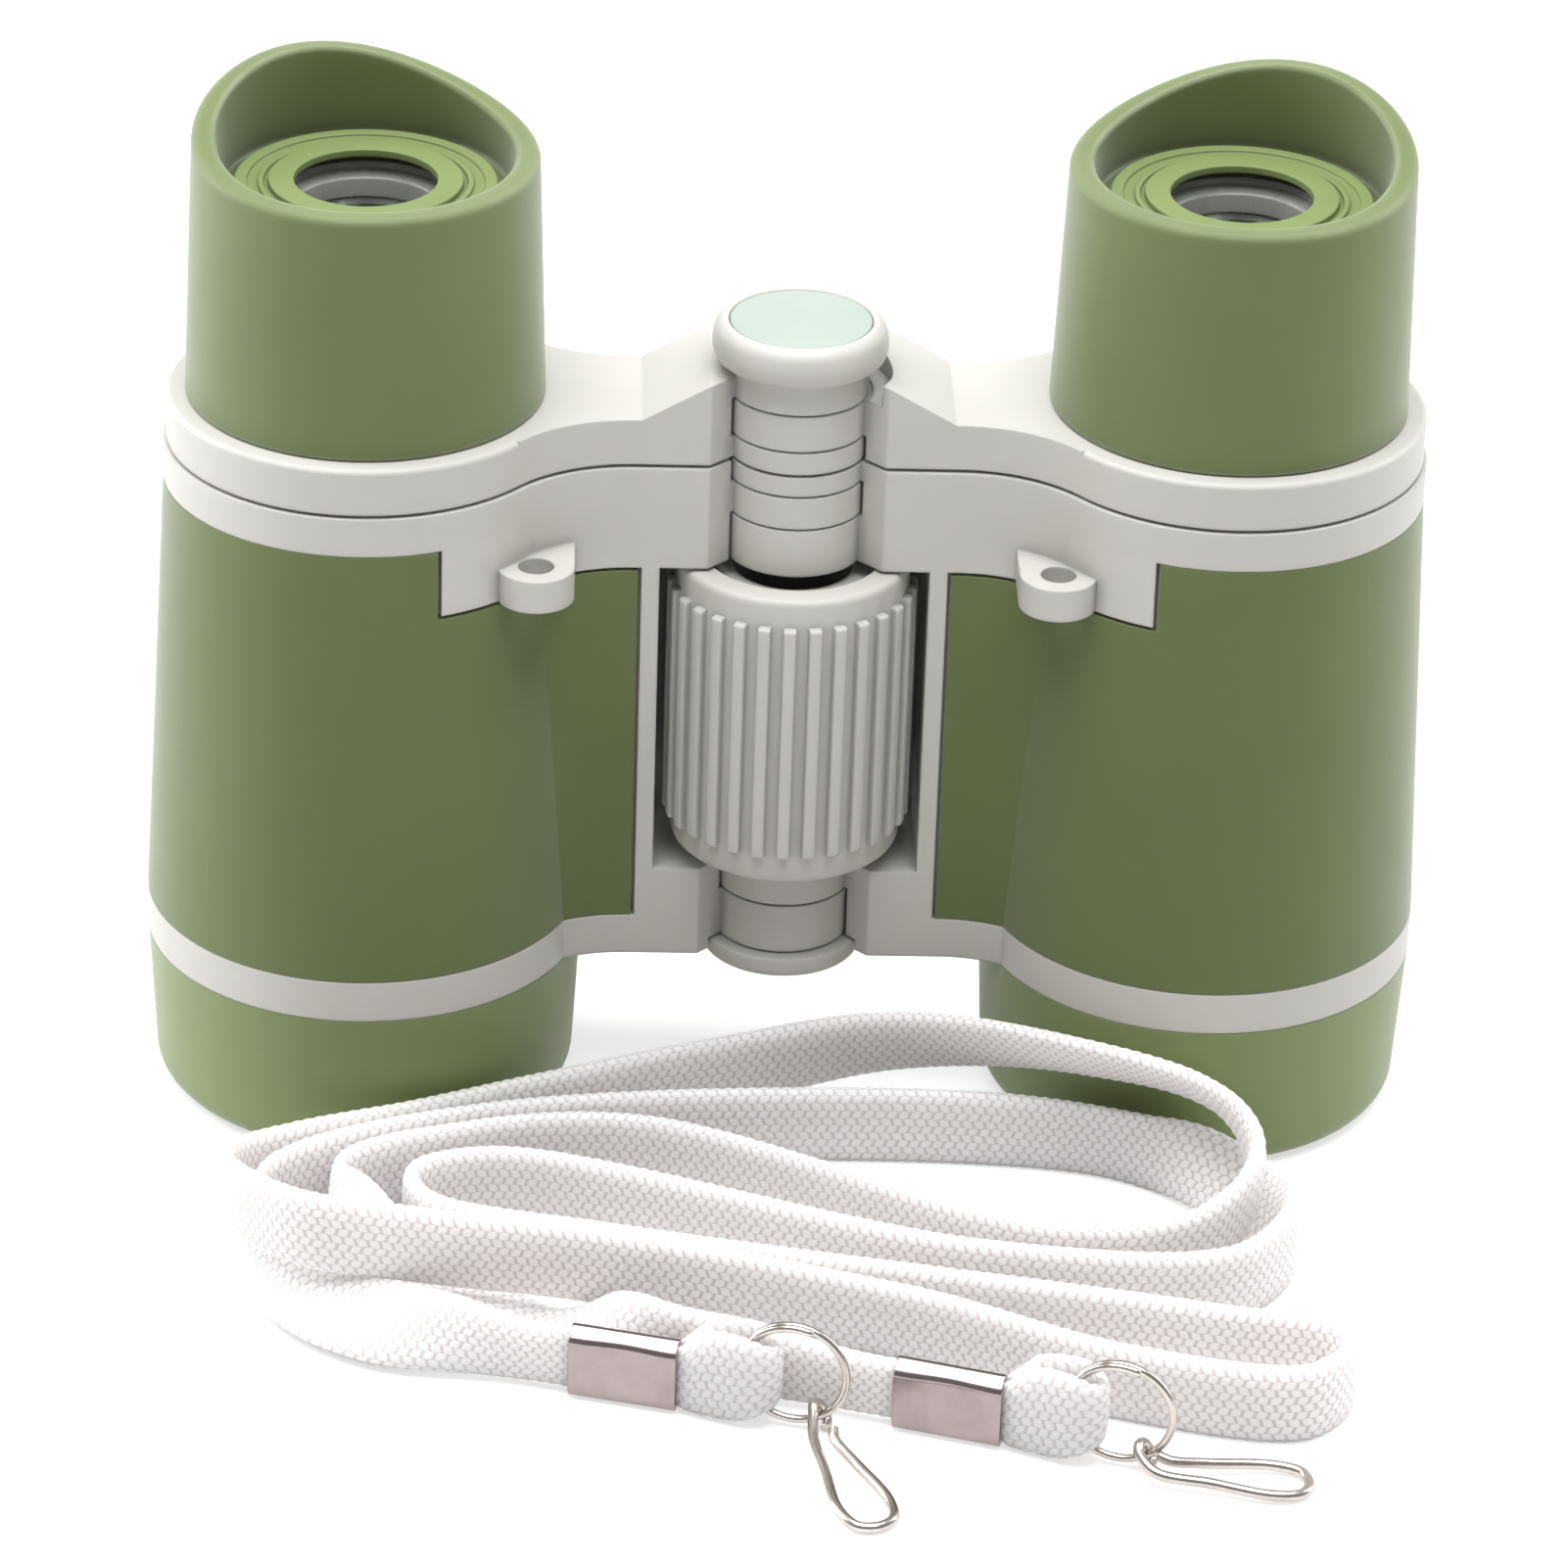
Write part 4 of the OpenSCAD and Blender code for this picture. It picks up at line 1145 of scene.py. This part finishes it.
    def fold(self, ribbon: Ribbon) -> Skin:
        """Folded strap end: out of the crimp, round the ring's wire and back into the crimp.

        The width swells outside the crimp and narrows towards the tip.

        Args:
            ribbon: Section of the strap.

        Returns:
            The fold.
        """
        leg = np.array(FOLD_LEG)
        bend = np.vstack([leg * (1, -1), [(FOLD_TIP, 0)], leg[::-1]])
        fine = smooth_path(np.column_stack([bend, np.zeros(len(bend))]), self.fold_steps)
        path = even_steps(fine, ribbon.rings(run(fine)[-1]))
        x = path[:, 0]
        half, depth = self._eased(x, FOLD_HALF_WIDTH), self._eased(x, FOLD_HALF_DEPTH)
        path[:, 2] = self.middle + self._eased(x, FOLD_RISE)
        way = np.gradient(path, axis=0) * (1, 1, 0)
        up = np.tile((0.0, 0.0, 1.0), (len(path), 1))
        return ribbon.sweep(path, up, unit(np.cross(up, way)), half, depth)

    @staticmethod
    def _eased(x: Array, stations: Sequence[Pair]) -> Array:
        """Values between stations, eased by 3 t^2 - 2 t^3 from each to the next.

        Args:
            x: Places to find values for.
            stations: Place and value of each station.

        Returns:
            The values.
        """
        at, level = np.array(stations).T
        t = np.interp(x, at, np.arange(len(at)))
        step = np.minimum(t.astype(int), len(at) - 2)
        share = t - step
        return level[step] + (level[step + 1] - level[step]) * share**2 * (3 - 2 * share)

    def ring(self) -> Skin:
        """Split ring: a turn and a quarter of wire whose ends lie side by side.

        The wire runs through (x + r cos t, drift, z + r sin t) while t goes through the ring's turns.

        Returns:
            The ring.
        """
        turn = np.radians(np.linspace(*self.ring_turns, self.ring_steps))
        share = np.linspace(0, 1, self.ring_steps)
        drift = np.interp(share, *np.array(RING_DRIFT).T)
        path = np.stack([
            self.ring_x + self.ring_radius * np.cos(turn), drift,
            self.ring_z + self.ring_radius * np.sin(turn),
        ], 1)
        return wire(path, self.ring_wire, np.array([0.0, 1.0, 0.0]))

    def hook(self) -> Skin:
        """Wire hook: an eye round the ring, a long loop that rests on the floor and a free tip.

        It is a smooth curve through knots: a circle about the ring's wire, then a flat loop that is
        tilted down to the floor and swung to its heading.

        Returns:
            The hook.
        """
        at = math.radians(self.hook_at)
        slope = np.array([math.cos(at), 0, -math.sin(at)])
        eye = np.array([self.ring_x, 0, self.ring_z]) + self.ring_radius * slope
        angle = np.radians(self.hook_eye_turns)[:, None]
        round_eye = eye + self.hook_eye * (np.cos(angle) * slope + np.sin(angle) * (0, 1, 0))
        long, wide, neck = self.hook_length - self.hook_round, self.hook_round, self.hook_neck
        loop = np.array([
            (1.2, -neck - 0.1, 0), (0.5 * long, -0.5 * (neck + wide), 0), (0.93 * long, -0.97 * wide, 0),
            (long + 0.72 * wide, -0.7 * wide, 0), (long + wide, 0, 0),
            (long + 0.72 * wide, 0.7 * wide, 0), (0.93 * long, 0.97 * wide, 0),
            (0.5 * long, 0.5 * (neck + wide), 0.1), (2.4, neck + 0.25, 0.35), (1.3, neck + 0.5, 0.6),
        ])
        drop = math.asin((eye[2] - self.hook_wire - self.hook_floor_gap) / self.hook_length)
        head = math.radians(self.hook_heading)
        sin, cos = math.sin(drop), math.cos(drop)
        fall = np.array([(cos, 0, -sin), (0, 1, 0), (sin, 0, cos)])
        sin, cos = math.sin(head), math.cos(head)
        swing = np.array([(cos, sin, 0), (-sin, cos, 0), (0, 0, 1)])
        start = eye - (0, self.hook_eye + self.hook_wire + self.hook_shift, 0)
        path = smooth_path(np.vstack([round_eye, start + loop @ fall @ swing]), self.hook_steps)
        return wire(path, self.hook_wire, np.array([0.43, 0.21, 0.88]))


@dataclass
class NeckStrap:
    """Flat braided strap that lies in loops in front of the object."""

    held: float = 5.4
    drawn_in: Pair = (6.0, 20.0)
    least_height: float = 0.12
    knot_steps: int = 60
    path_step: int = 6

    def build(self, braid: Braid, sheet: Material, bright: Material) -> None:
        """Args:
            braid: Finish of the strap.
            sheet: Finish of the crimps.
            bright: Finish of rings and hooks.
        """
        ribbon, finish = Ribbon(braid), braid.make()
        skin, centre = self._strap(ribbon)
        strap = place(skin.mesh("strap_braid"), finish, "left_half", ["strap"])
        ends = [StrapEnd(1, (-13.4, -54.4), -14.97, -55.0), StrapEnd(2, (12.6, -58.8), -17.61, 14.0)]
        fittings = [piece for end in ends for piece in end.build(ribbon, finish, sheet, bright)]

    def _strap(self, ribbon: Ribbon) -> tuple[Skin, Array]:
        """Sweep the braid along the route.

        The width stands on edge where the lean is nought and lies flat at 90 degrees. The middle
        is raised so that the lower edge keeps its height, and the width is drawn in at the crimps.

        Args:
            ribbon: Section of the strap.

        Returns:
            The surface and the middle of each ring.
        """
        knots = np.array(STRAP_ROUTE, float) / (MM, MM, MM, 1)
        fine = smooth_path(knots, self.knot_steps)
        line = even_steps(fine, ribbon.rings(run(fine)[-1]))
        at = run(line)
        near = np.clip((np.minimum(at, at[-1] - at) - self.drawn_in[0]) / np.ptp(self.drawn_in), 0, 1)
        half = (self.held + (ribbon.width - self.held) * near**2 * (3 - 2 * near)) / 2
        way = unit(np.gradient(line[:, :2], axis=0))
        side = np.column_stack([-way[:, 1], way[:, 0], np.zeros(len(way))])
        up = np.array([0.0, 0.0, 1.0])
        cos, sin = (f(np.radians(line[:, 3]))[:, None] for f in (np.cos, np.sin))
        wide, thin = up * cos + side * sin, side * cos - up * sin
        foot = np.maximum(self.least_height, line[:, 2])
        height = foot + half * np.abs(cos[:, 0]) + ribbon.thick / 2 * np.abs(sin[:, 0])
        centre = np.column_stack([line[:, :2], height])
        return ribbon.sweep(centre, wide, thin, half, np.full(len(line), ribbon.thick / 2)), centre


@dataclass
class Eyepiece:
    """Winged eyecup, stepped disc and dark tube of one eyepiece."""

    side: Side
    axis: float = 36.0
    foot_z: float = 64.45
    foot_r: float = 15.0
    rim_z: float = 85.45
    rim_r: float = 14.3
    mouth_r: float = 12.3
    wing: float = 4.5
    wing_turn: float = 62.0
    neck_r: float = 12.45
    throat_r: float = 11.9
    ledge_h: float = 0.6
    cup_columns: int = 192
    cup_cuts: tuple[float, ...] = (0.1, 0.35, 0.62, 0.35, 0.08, 0.0, 0.0, 0.0)
    cup_cut_steps: int = 6
    wing_power: int = 3
    disc_r: float = 10.8
    hole_r: float = 5.9
    disc_z: float = 81.55
    disc_rim: float = 1.0
    disc_ring: Pair = (1.9, 2.4)
    disc_crown: float = 2.74
    disc_slope: float = 0.06
    groove_h: float = 1.14
    ring_h: float = 1.38
    crown_h: float = 1.6
    undercut: float = 1.9
    undercut_h: float = 0.96
    cell_r: float = 8.0
    cell_h: float = 9.0
    cell_gap: float = 0.05
    flange_in: float = 1.9
    flange_h: float = 1.2
    lens_r: float = 6.65
    lens_depth: float = 5.2
    seat_w: float = 0.85
    tube_mouth: float = 0.65
    tube_mouth_h: float = 0.55
    tube_ring: float = 0.6
    tube_ring_h: Pair = (0.95, 2.62)
    tube_ring_slope: float = 0.1
    tube_ring_foot: float = 0.08

    def build(self, rubber: Material, plastic: Material, dark: Material, glass: Material) -> None:
        """Build and dress the eyepiece.

        Args:
            rubber: Finish of the cup.
            plastic: Finish of the disc.
            dark: Finish of the tube.
            glass: Finish of the lens.
        """
        word = self.side.word
        body = f"{word}_eyepiece"
        centre = (self.side.value * self.axis, 0.0)
        cup, disc, cell = f"{word}_eyecup", f"{word}_eyepiece_disc", f"{word}_eyepiece_cell"
        place(self._cup(centre).mesh(f"{cup}_shell"), rubber, body, [cup])
        place(turned(self._disc(), centre).mesh(f"{disc}_stepped"), plastic, body, [disc])
        place(turned(self._cell(), centre).mesh(f"{cell}_ringed"), dark, body, [cell])
        dress(f"{word}_eyepiece_lens", glass)

    def _cup(self, centre: Pair) -> Skin:
        """Turned wall whose rim rises to a wing on the outer back.

        With p the angle from the wing, the rim is raised by wing * ((1 + cos p) / 2)^3, and the
        wall's outside keeps its taper up to there. A ledge inside closes the groove round the disc.

        Args:
            centre: Place of the optical axis.

        Returns:
            The cup.
        """
        angle = np.linspace(0, 2 * np.pi, self.cup_columns, endpoint=False)
        wing = math.radians(self.wing_turn if self.side is Side.RIGHT else 180 - self.wing_turn)
        rise = self.wing * ((1 + np.cos(angle - wing)) / 2) ** self.wing_power
        taper = (self.foot_r - self.rim_r) / (self.rim_z - self.foot_z)
        fixed = np.zeros_like(angle)
        seat_z, ledge_z = self.disc_z + self.cell_gap, self.disc_z + self.ledge_h
        ledge_r = self.disc_r + self.cell_gap
        corners = np.stack([np.stack(pair, -1) for pair in (
            (fixed + self.neck_r, fixed + self.foot_z),
            (fixed + self.foot_r, fixed + self.foot_z),
            (self.rim_r - taper * rise, self.rim_z + rise),
            (fixed + self.mouth_r, self.rim_z + rise),
            (fixed + self.throat_r, fixed + ledge_z),
            (fixed + ledge_r, fixed + ledge_z),
            (fixed + ledge_r, fixed + seat_z),
            (fixed + self.neck_r, fixed + seat_z),
        )], 1)
        outline = rounded(corners, np.array(self.cup_cuts), self.cup_cut_steps)
        return lathe(outline[..., 0].T, outline[..., 1].T, angle, centre)

    def _disc(self) -> Array:
        """Outline of the disc: two raised rings and a higher middle that is thin round the eye hole.

        Returns:
            Radius and height of each point.
        """
        low, outer, hole, slope = self.disc_z, self.disc_r, self.hole_r, self.disc_slope
        base, top = low + self.groove_h, low + self.ring_h
        crown, thin = low + self.crown_h, low + self.undercut_h
        rim, step = outer - self.disc_rim, outer - self.disc_crown
        ring, end = (outer - inset for inset in self.disc_ring)
        return profile([
            (hole + self.undercut, low, 0), (outer, low, 0), (outer, top, 0.1), (rim, top, 0.08),
            (rim - slope, base, 0.05), (ring, base, 0.05), (ring - slope, top, 0.08), (end, top, 0.08),
            (end - slope, base, 0.05), (step, base, 0.05), (step - slope, crown, 0.1),
            (hole, crown, 0.12), (hole, thin, 0.05), (hole + self.undercut, thin, 0),
        ])

    def _cell(self) -> Array:
        """Outline of the dark tube: flange, hollow under the disc, ring over the lens and lens seat.

        Returns:
            Radius and height of each point.
        """
        top = self.disc_z - self.cell_gap
        foot, under, glass = top - self.cell_h, top - self.flange_h, top - self.lens_depth
        flange, bore, seat = self.neck_r - self.flange_in, self.lens_r, self.lens_r - self.seat_w
        mouth, ring = bore + self.tube_mouth, bore - self.tube_ring
        high, low = (top - depth for depth in self.tube_ring_h)
        return profile([
            (seat, foot, 0.1), (self.cell_r, foot, 0.1), (self.cell_r, under, 0), (flange, under, 0.1),
            (flange, top, 0.1), (mouth, top, 0.1), (mouth, top - self.tube_mouth_h, 0.1),
            (ring, high, 0.2), (ring - self.tube_ring_slope, low, 0.15),
            (bore, low - self.tube_ring_foot, 0.02), (bore, glass, 0), (seat, glass, 0.1),
        ])


# Focus wheel: distance from a rib's end and share of the rib's height there, and distance outside
# its flank and share of its height there
RIB_END = ((0.0, 0.0), (0.04, 0.5), (0.09, 0.88), (0.15, 0.98), (0.24, 1.0))
RIB_FLANK = ((0.06, 0.0), (0.02, 0.05), (0.0, 0.5), (-0.02, 0.9), (-0.06, 0.98), (-0.13, 1.0))


@dataclass
class FocusDrive:
    """Ribbed focus wheel, hub cap with its disc and the cap under the hinge."""

    hinge_y: float = -1.7
    wheel_z: float = 23.8
    wheel_h: float = 26.9
    rib_r: float = 10.6
    drum_r: float = 9.9
    rib_w: float = 1.1
    ribs: int = 30
    rib_turn: float = 3.5
    rib_crown: float = 1.02
    rib_rows: int = 12
    collar: float = 2.4
    low_collar: float = 2.8
    recess_wall: float = 2.4
    recess_h: float = 1.2
    bore_r: float = 3.06
    nut_r: float = 5.05
    nut_seat: float = 6.6
    hub_z: float = 68.8
    hub_h: float = 3.2
    hub_r: float = 7.4
    hub_socket: float = 1.6
    mint_r: float = 5.9
    mint_depth: float = 0.5
    mint_gap: float = 0.02
    pivot_z: float = 13.1
    pivot_h: float = 1.8
    pivot_r: float = 6.9
    pivot_socket: float = 0.9

    def build(self, grey: Material, mint: Material, dark: Material, steel: Material) -> None:
        """Build and dress the drive.

        Args:
            grey: Finish of wheel and caps.
            mint: Finish of the hub's disc.
            dark: Finish of the nut.
            steel: Finish of screw and pin.
        """
        hub, inlay, pivot = (turned(outline, (0.0, self.hinge_y))
                             for outline in (self._hub(), self._mint(), self._pivot()))
        place(self._wheel().mesh("focus_wheel_ribbed"), grey, "wheel", ["focus_wheel"])
        place(hub.mesh("hub_cap_domed"), grey, "left_eyepiece", ["hub_cap"])
        place(inlay.mesh("hub_disc_inlay"), mint, "left_eyepiece", ["hub_disc"])
        place(pivot.mesh("pivot_cap_rounded"), grey, "left_half", ["pivot_cap"])
        dress("focus_nut", dark)
        dress("focus_screw", steel)
        dress("pivot_pin", steel)

    def _wheel(self) -> Skin:
        """Drum with rounded ribs between two collars, bored below and hollowed above.

        A ring of the drum has radius r, and its ribs add (rib_r - drum_r) times the rib's own
        section, which falls from one to nought over its flank, times the row's share of the rib.

        Returns:
            The wheel.
        """
        low, high = self.wheel_z, self.wheel_z + self.wheel_h
        start, stop = low + self.low_collar, high - self.collar
        drum, rim, seat = self.drum_r, self.drum_r - self.recess_wall, low + self.nut_seat
        outline = profile([
            (self.bore_r, low, 0.1), (drum - 0.1, low, 1.2), (drum, start, 0.4), (drum, stop, 0.4),
            (drum + 0.02, high, 0.7), (rim, high, 0.3), (rim, high - self.recess_h, 0.1),
            (self.nut_r, high - self.recess_h, 0.1), (self.nut_r, seat, 0), (self.bore_r, seat, 0),
        ])
        corner = ROUND_STEPS + 1
        below, above = outline[:2 * corner], outline[4 * corner:]
        ends, fade = np.array(RIB_END).T
        between = np.linspace(start + 1, stop - 1, self.rib_rows)
        height = np.concatenate([start + ends, between, stop - ends[::-1]])
        share = np.concatenate([fade, np.ones(len(between)), fade[::-1]])
        rows = np.vstack([below, np.column_stack([0 * height + drum, height]), above])
        weight = np.concatenate([np.zeros(len(below)), share, np.zeros(len(above))])
        outside, raised = np.array(RIB_FLANK).T
        flank = self.rib_w / 2 + outside
        offset = np.concatenate([-flank, [0.0], flank[::-1]]) / self.rib_r
        section = np.concatenate([raised, [self.rib_crown], raised[::-1]])
        middle = np.arange(self.ribs)[:, None] * 2 * np.pi / self.ribs
        angle = (middle + offset).ravel() + math.radians(self.rib_turn)
        bump = np.tile(section, self.ribs) * (self.rib_r - drum)
        return lathe(rows[:, :1] + weight[:, None] * bump, rows[:, 1:], angle, (0.0, self.hinge_y))

    def _hub(self) -> Array:
        """Outline of the hub cap: bulged edge, lip round the disc and a socket below.

        Returns:
            Radius and height of each point.
        """
        low, high = self.hub_z, self.hub_z + self.hub_h
        lip, edge = self.mint_r + self.mint_gap, self.hub_r
        pocket, socket = high - self.mint_depth, low + self.hub_socket
        return profile([
            (self.bore_r, low, 0), (edge - 0.35, low, 0.3), (edge, low + 1.2, 0.6),
            (edge - 0.25, high - 0.55, 0.5), (edge - 0.95, high + 0.03, 0.25),
            (lip + 0.1, high - 0.02, 0.1), (lip, pocket, 0), (0.0, pocket, 0), (0.0, socket, 0),
            (self.bore_r, socket, 0),
        ])

    def _mint(self) -> Array:
        """Outline of the disc: slightly crowned, with a soft edge.

        Returns:
            Radius and height of each point.
        """
        high = self.hub_z + self.hub_h
        low = high - self.mint_depth + self.mint_gap
        return profile([
            (0.0, low, 0), (self.mint_r, low, 0), (self.mint_r, high - 0.08, 0.08),
            (self.mint_r * 0.7, high, 1.2), (0.0, high + 0.02, 0),
        ])

    def _pivot(self) -> Array:
        """Outline of the cap under the hinge, with a rounded lower edge and a socket above.

        Returns:
            Radius and height of each point.
        """
        low, high = self.pivot_z, self.pivot_z + self.pivot_h
        socket = low + self.pivot_socket
        return profile([
            (0.0, low, 0), (self.pivot_r - 0.1, low, 0.5), (self.pivot_r, high, 0.15),
            (self.bore_r, high, 0), (self.bore_r, socket, 0), (0.0, socket, 0),
        ])


@dataclass
class Half:
    """Frame, grip, objective end and bridge arm of one half."""

    side: Side

    def build(
        self, grey: Material, grip: Material, rim: Material, dark: Material, glass: Material
    ) -> None:
        """Dress the half's pieces.

        Args:
            grey: Finish of frame and arm.
            grip: Finish of the grip.
            rim: Finish of the objective rim.
            dark: Finish of the lens ring.
            glass: Finish of the lens.
        """
        word = self.side.word
        for node, finish in (
            ("frame", grey), ("bridge_arm", grey), ("grip", grip), ("objective_rim", rim),
            ("lens_ring", dark), ("objective_lens", glass),
        ):
            dress(f"{word}_{node}", finish)


def main() -> None:
    """Build the studio and the object's sub-assemblies in order."""
    logging.basicConfig(level=logging.INFO, format="%(name)s: %(message)s")
    Studio().build()
    sheet = Plated("pressed_crimp", (160, 147, 146), (142, 130, 128), 0.18).make()
    bright = Plated("plated_wire", (206, 198, 192), (164, 154, 147), 0.18).make()
    NeckStrap().build(Braid("white_braid", (231, 227, 226), (194, 185, 184)), sheet, bright)
    grip = Moulded(
        "soft_green_grip", (97, 110, 63), (140, 156, 98), 0.58, Grain.SOFT, 0.25, sheen=0.35, gloss=0.3,
    ).make()
    rim = Moulded("green_rim", (122, 137, 84), (154, 168, 112), 0.52, Grain.SATIN, sheen=0.25).make()
    # Eyecup: its near-white edge tone is a painted highlight along the lip, and painted shade darkens
    # the inside of the cup
    rubber = Moulded(
        "green_eyecup", (102, 116, 67), (236, 241, 218), 0.54, Grain.SATIN, 0.8, wear_and_highlight_share=1.0, sheen=0.3,
        hollow=0.9, shade_reach=24.0, shade_tone=0.36,
    ).make()
    # Painted shade darkens the disc's grooves
    disc = Moulded(
        "green_disc", (119, 134, 82), (165, 178, 126), 0.5, Grain.SATIN, 0.12, hollow=0.5,
    ).make()
    # Painted shade darkens the wheel's grooves and the other narrow hollows of the grey parts
    grey = Moulded(
        "warm_grey_plastic", (193, 190, 184), (222, 220, 216), 0.42, Grain.SATIN, 0.35, specks=0.7,
        clouds=0.015, hollow=0.5,
    ).make()
    mint = Moulded(
        "mint_inlay", (167, 178, 168), (192, 204, 195), 0.4, Grain.POLISHED, 0.2, gloss=0.3,
    ).make()
    dark = Moulded(
        "dark_tube", (158, 160, 154), (180, 182, 176), 0.28, Grain.POLISHED, 0.12, gloss=0.6,
    ).make()
    steel = Plated("turned_steel", (176, 174, 170), (128, 124, 120), 0.3).make()
    glass = Glass("lens_glass", (236, 244, 240)).make()
    for side in Side:
        Half(side).build(grey, grip, rim, dark, glass)
        Eyepiece(side).build(rubber, disc, dark, glass)
    FocusDrive().build(grey, mint, dark, steel)


if __name__ == "__main__":
    main()
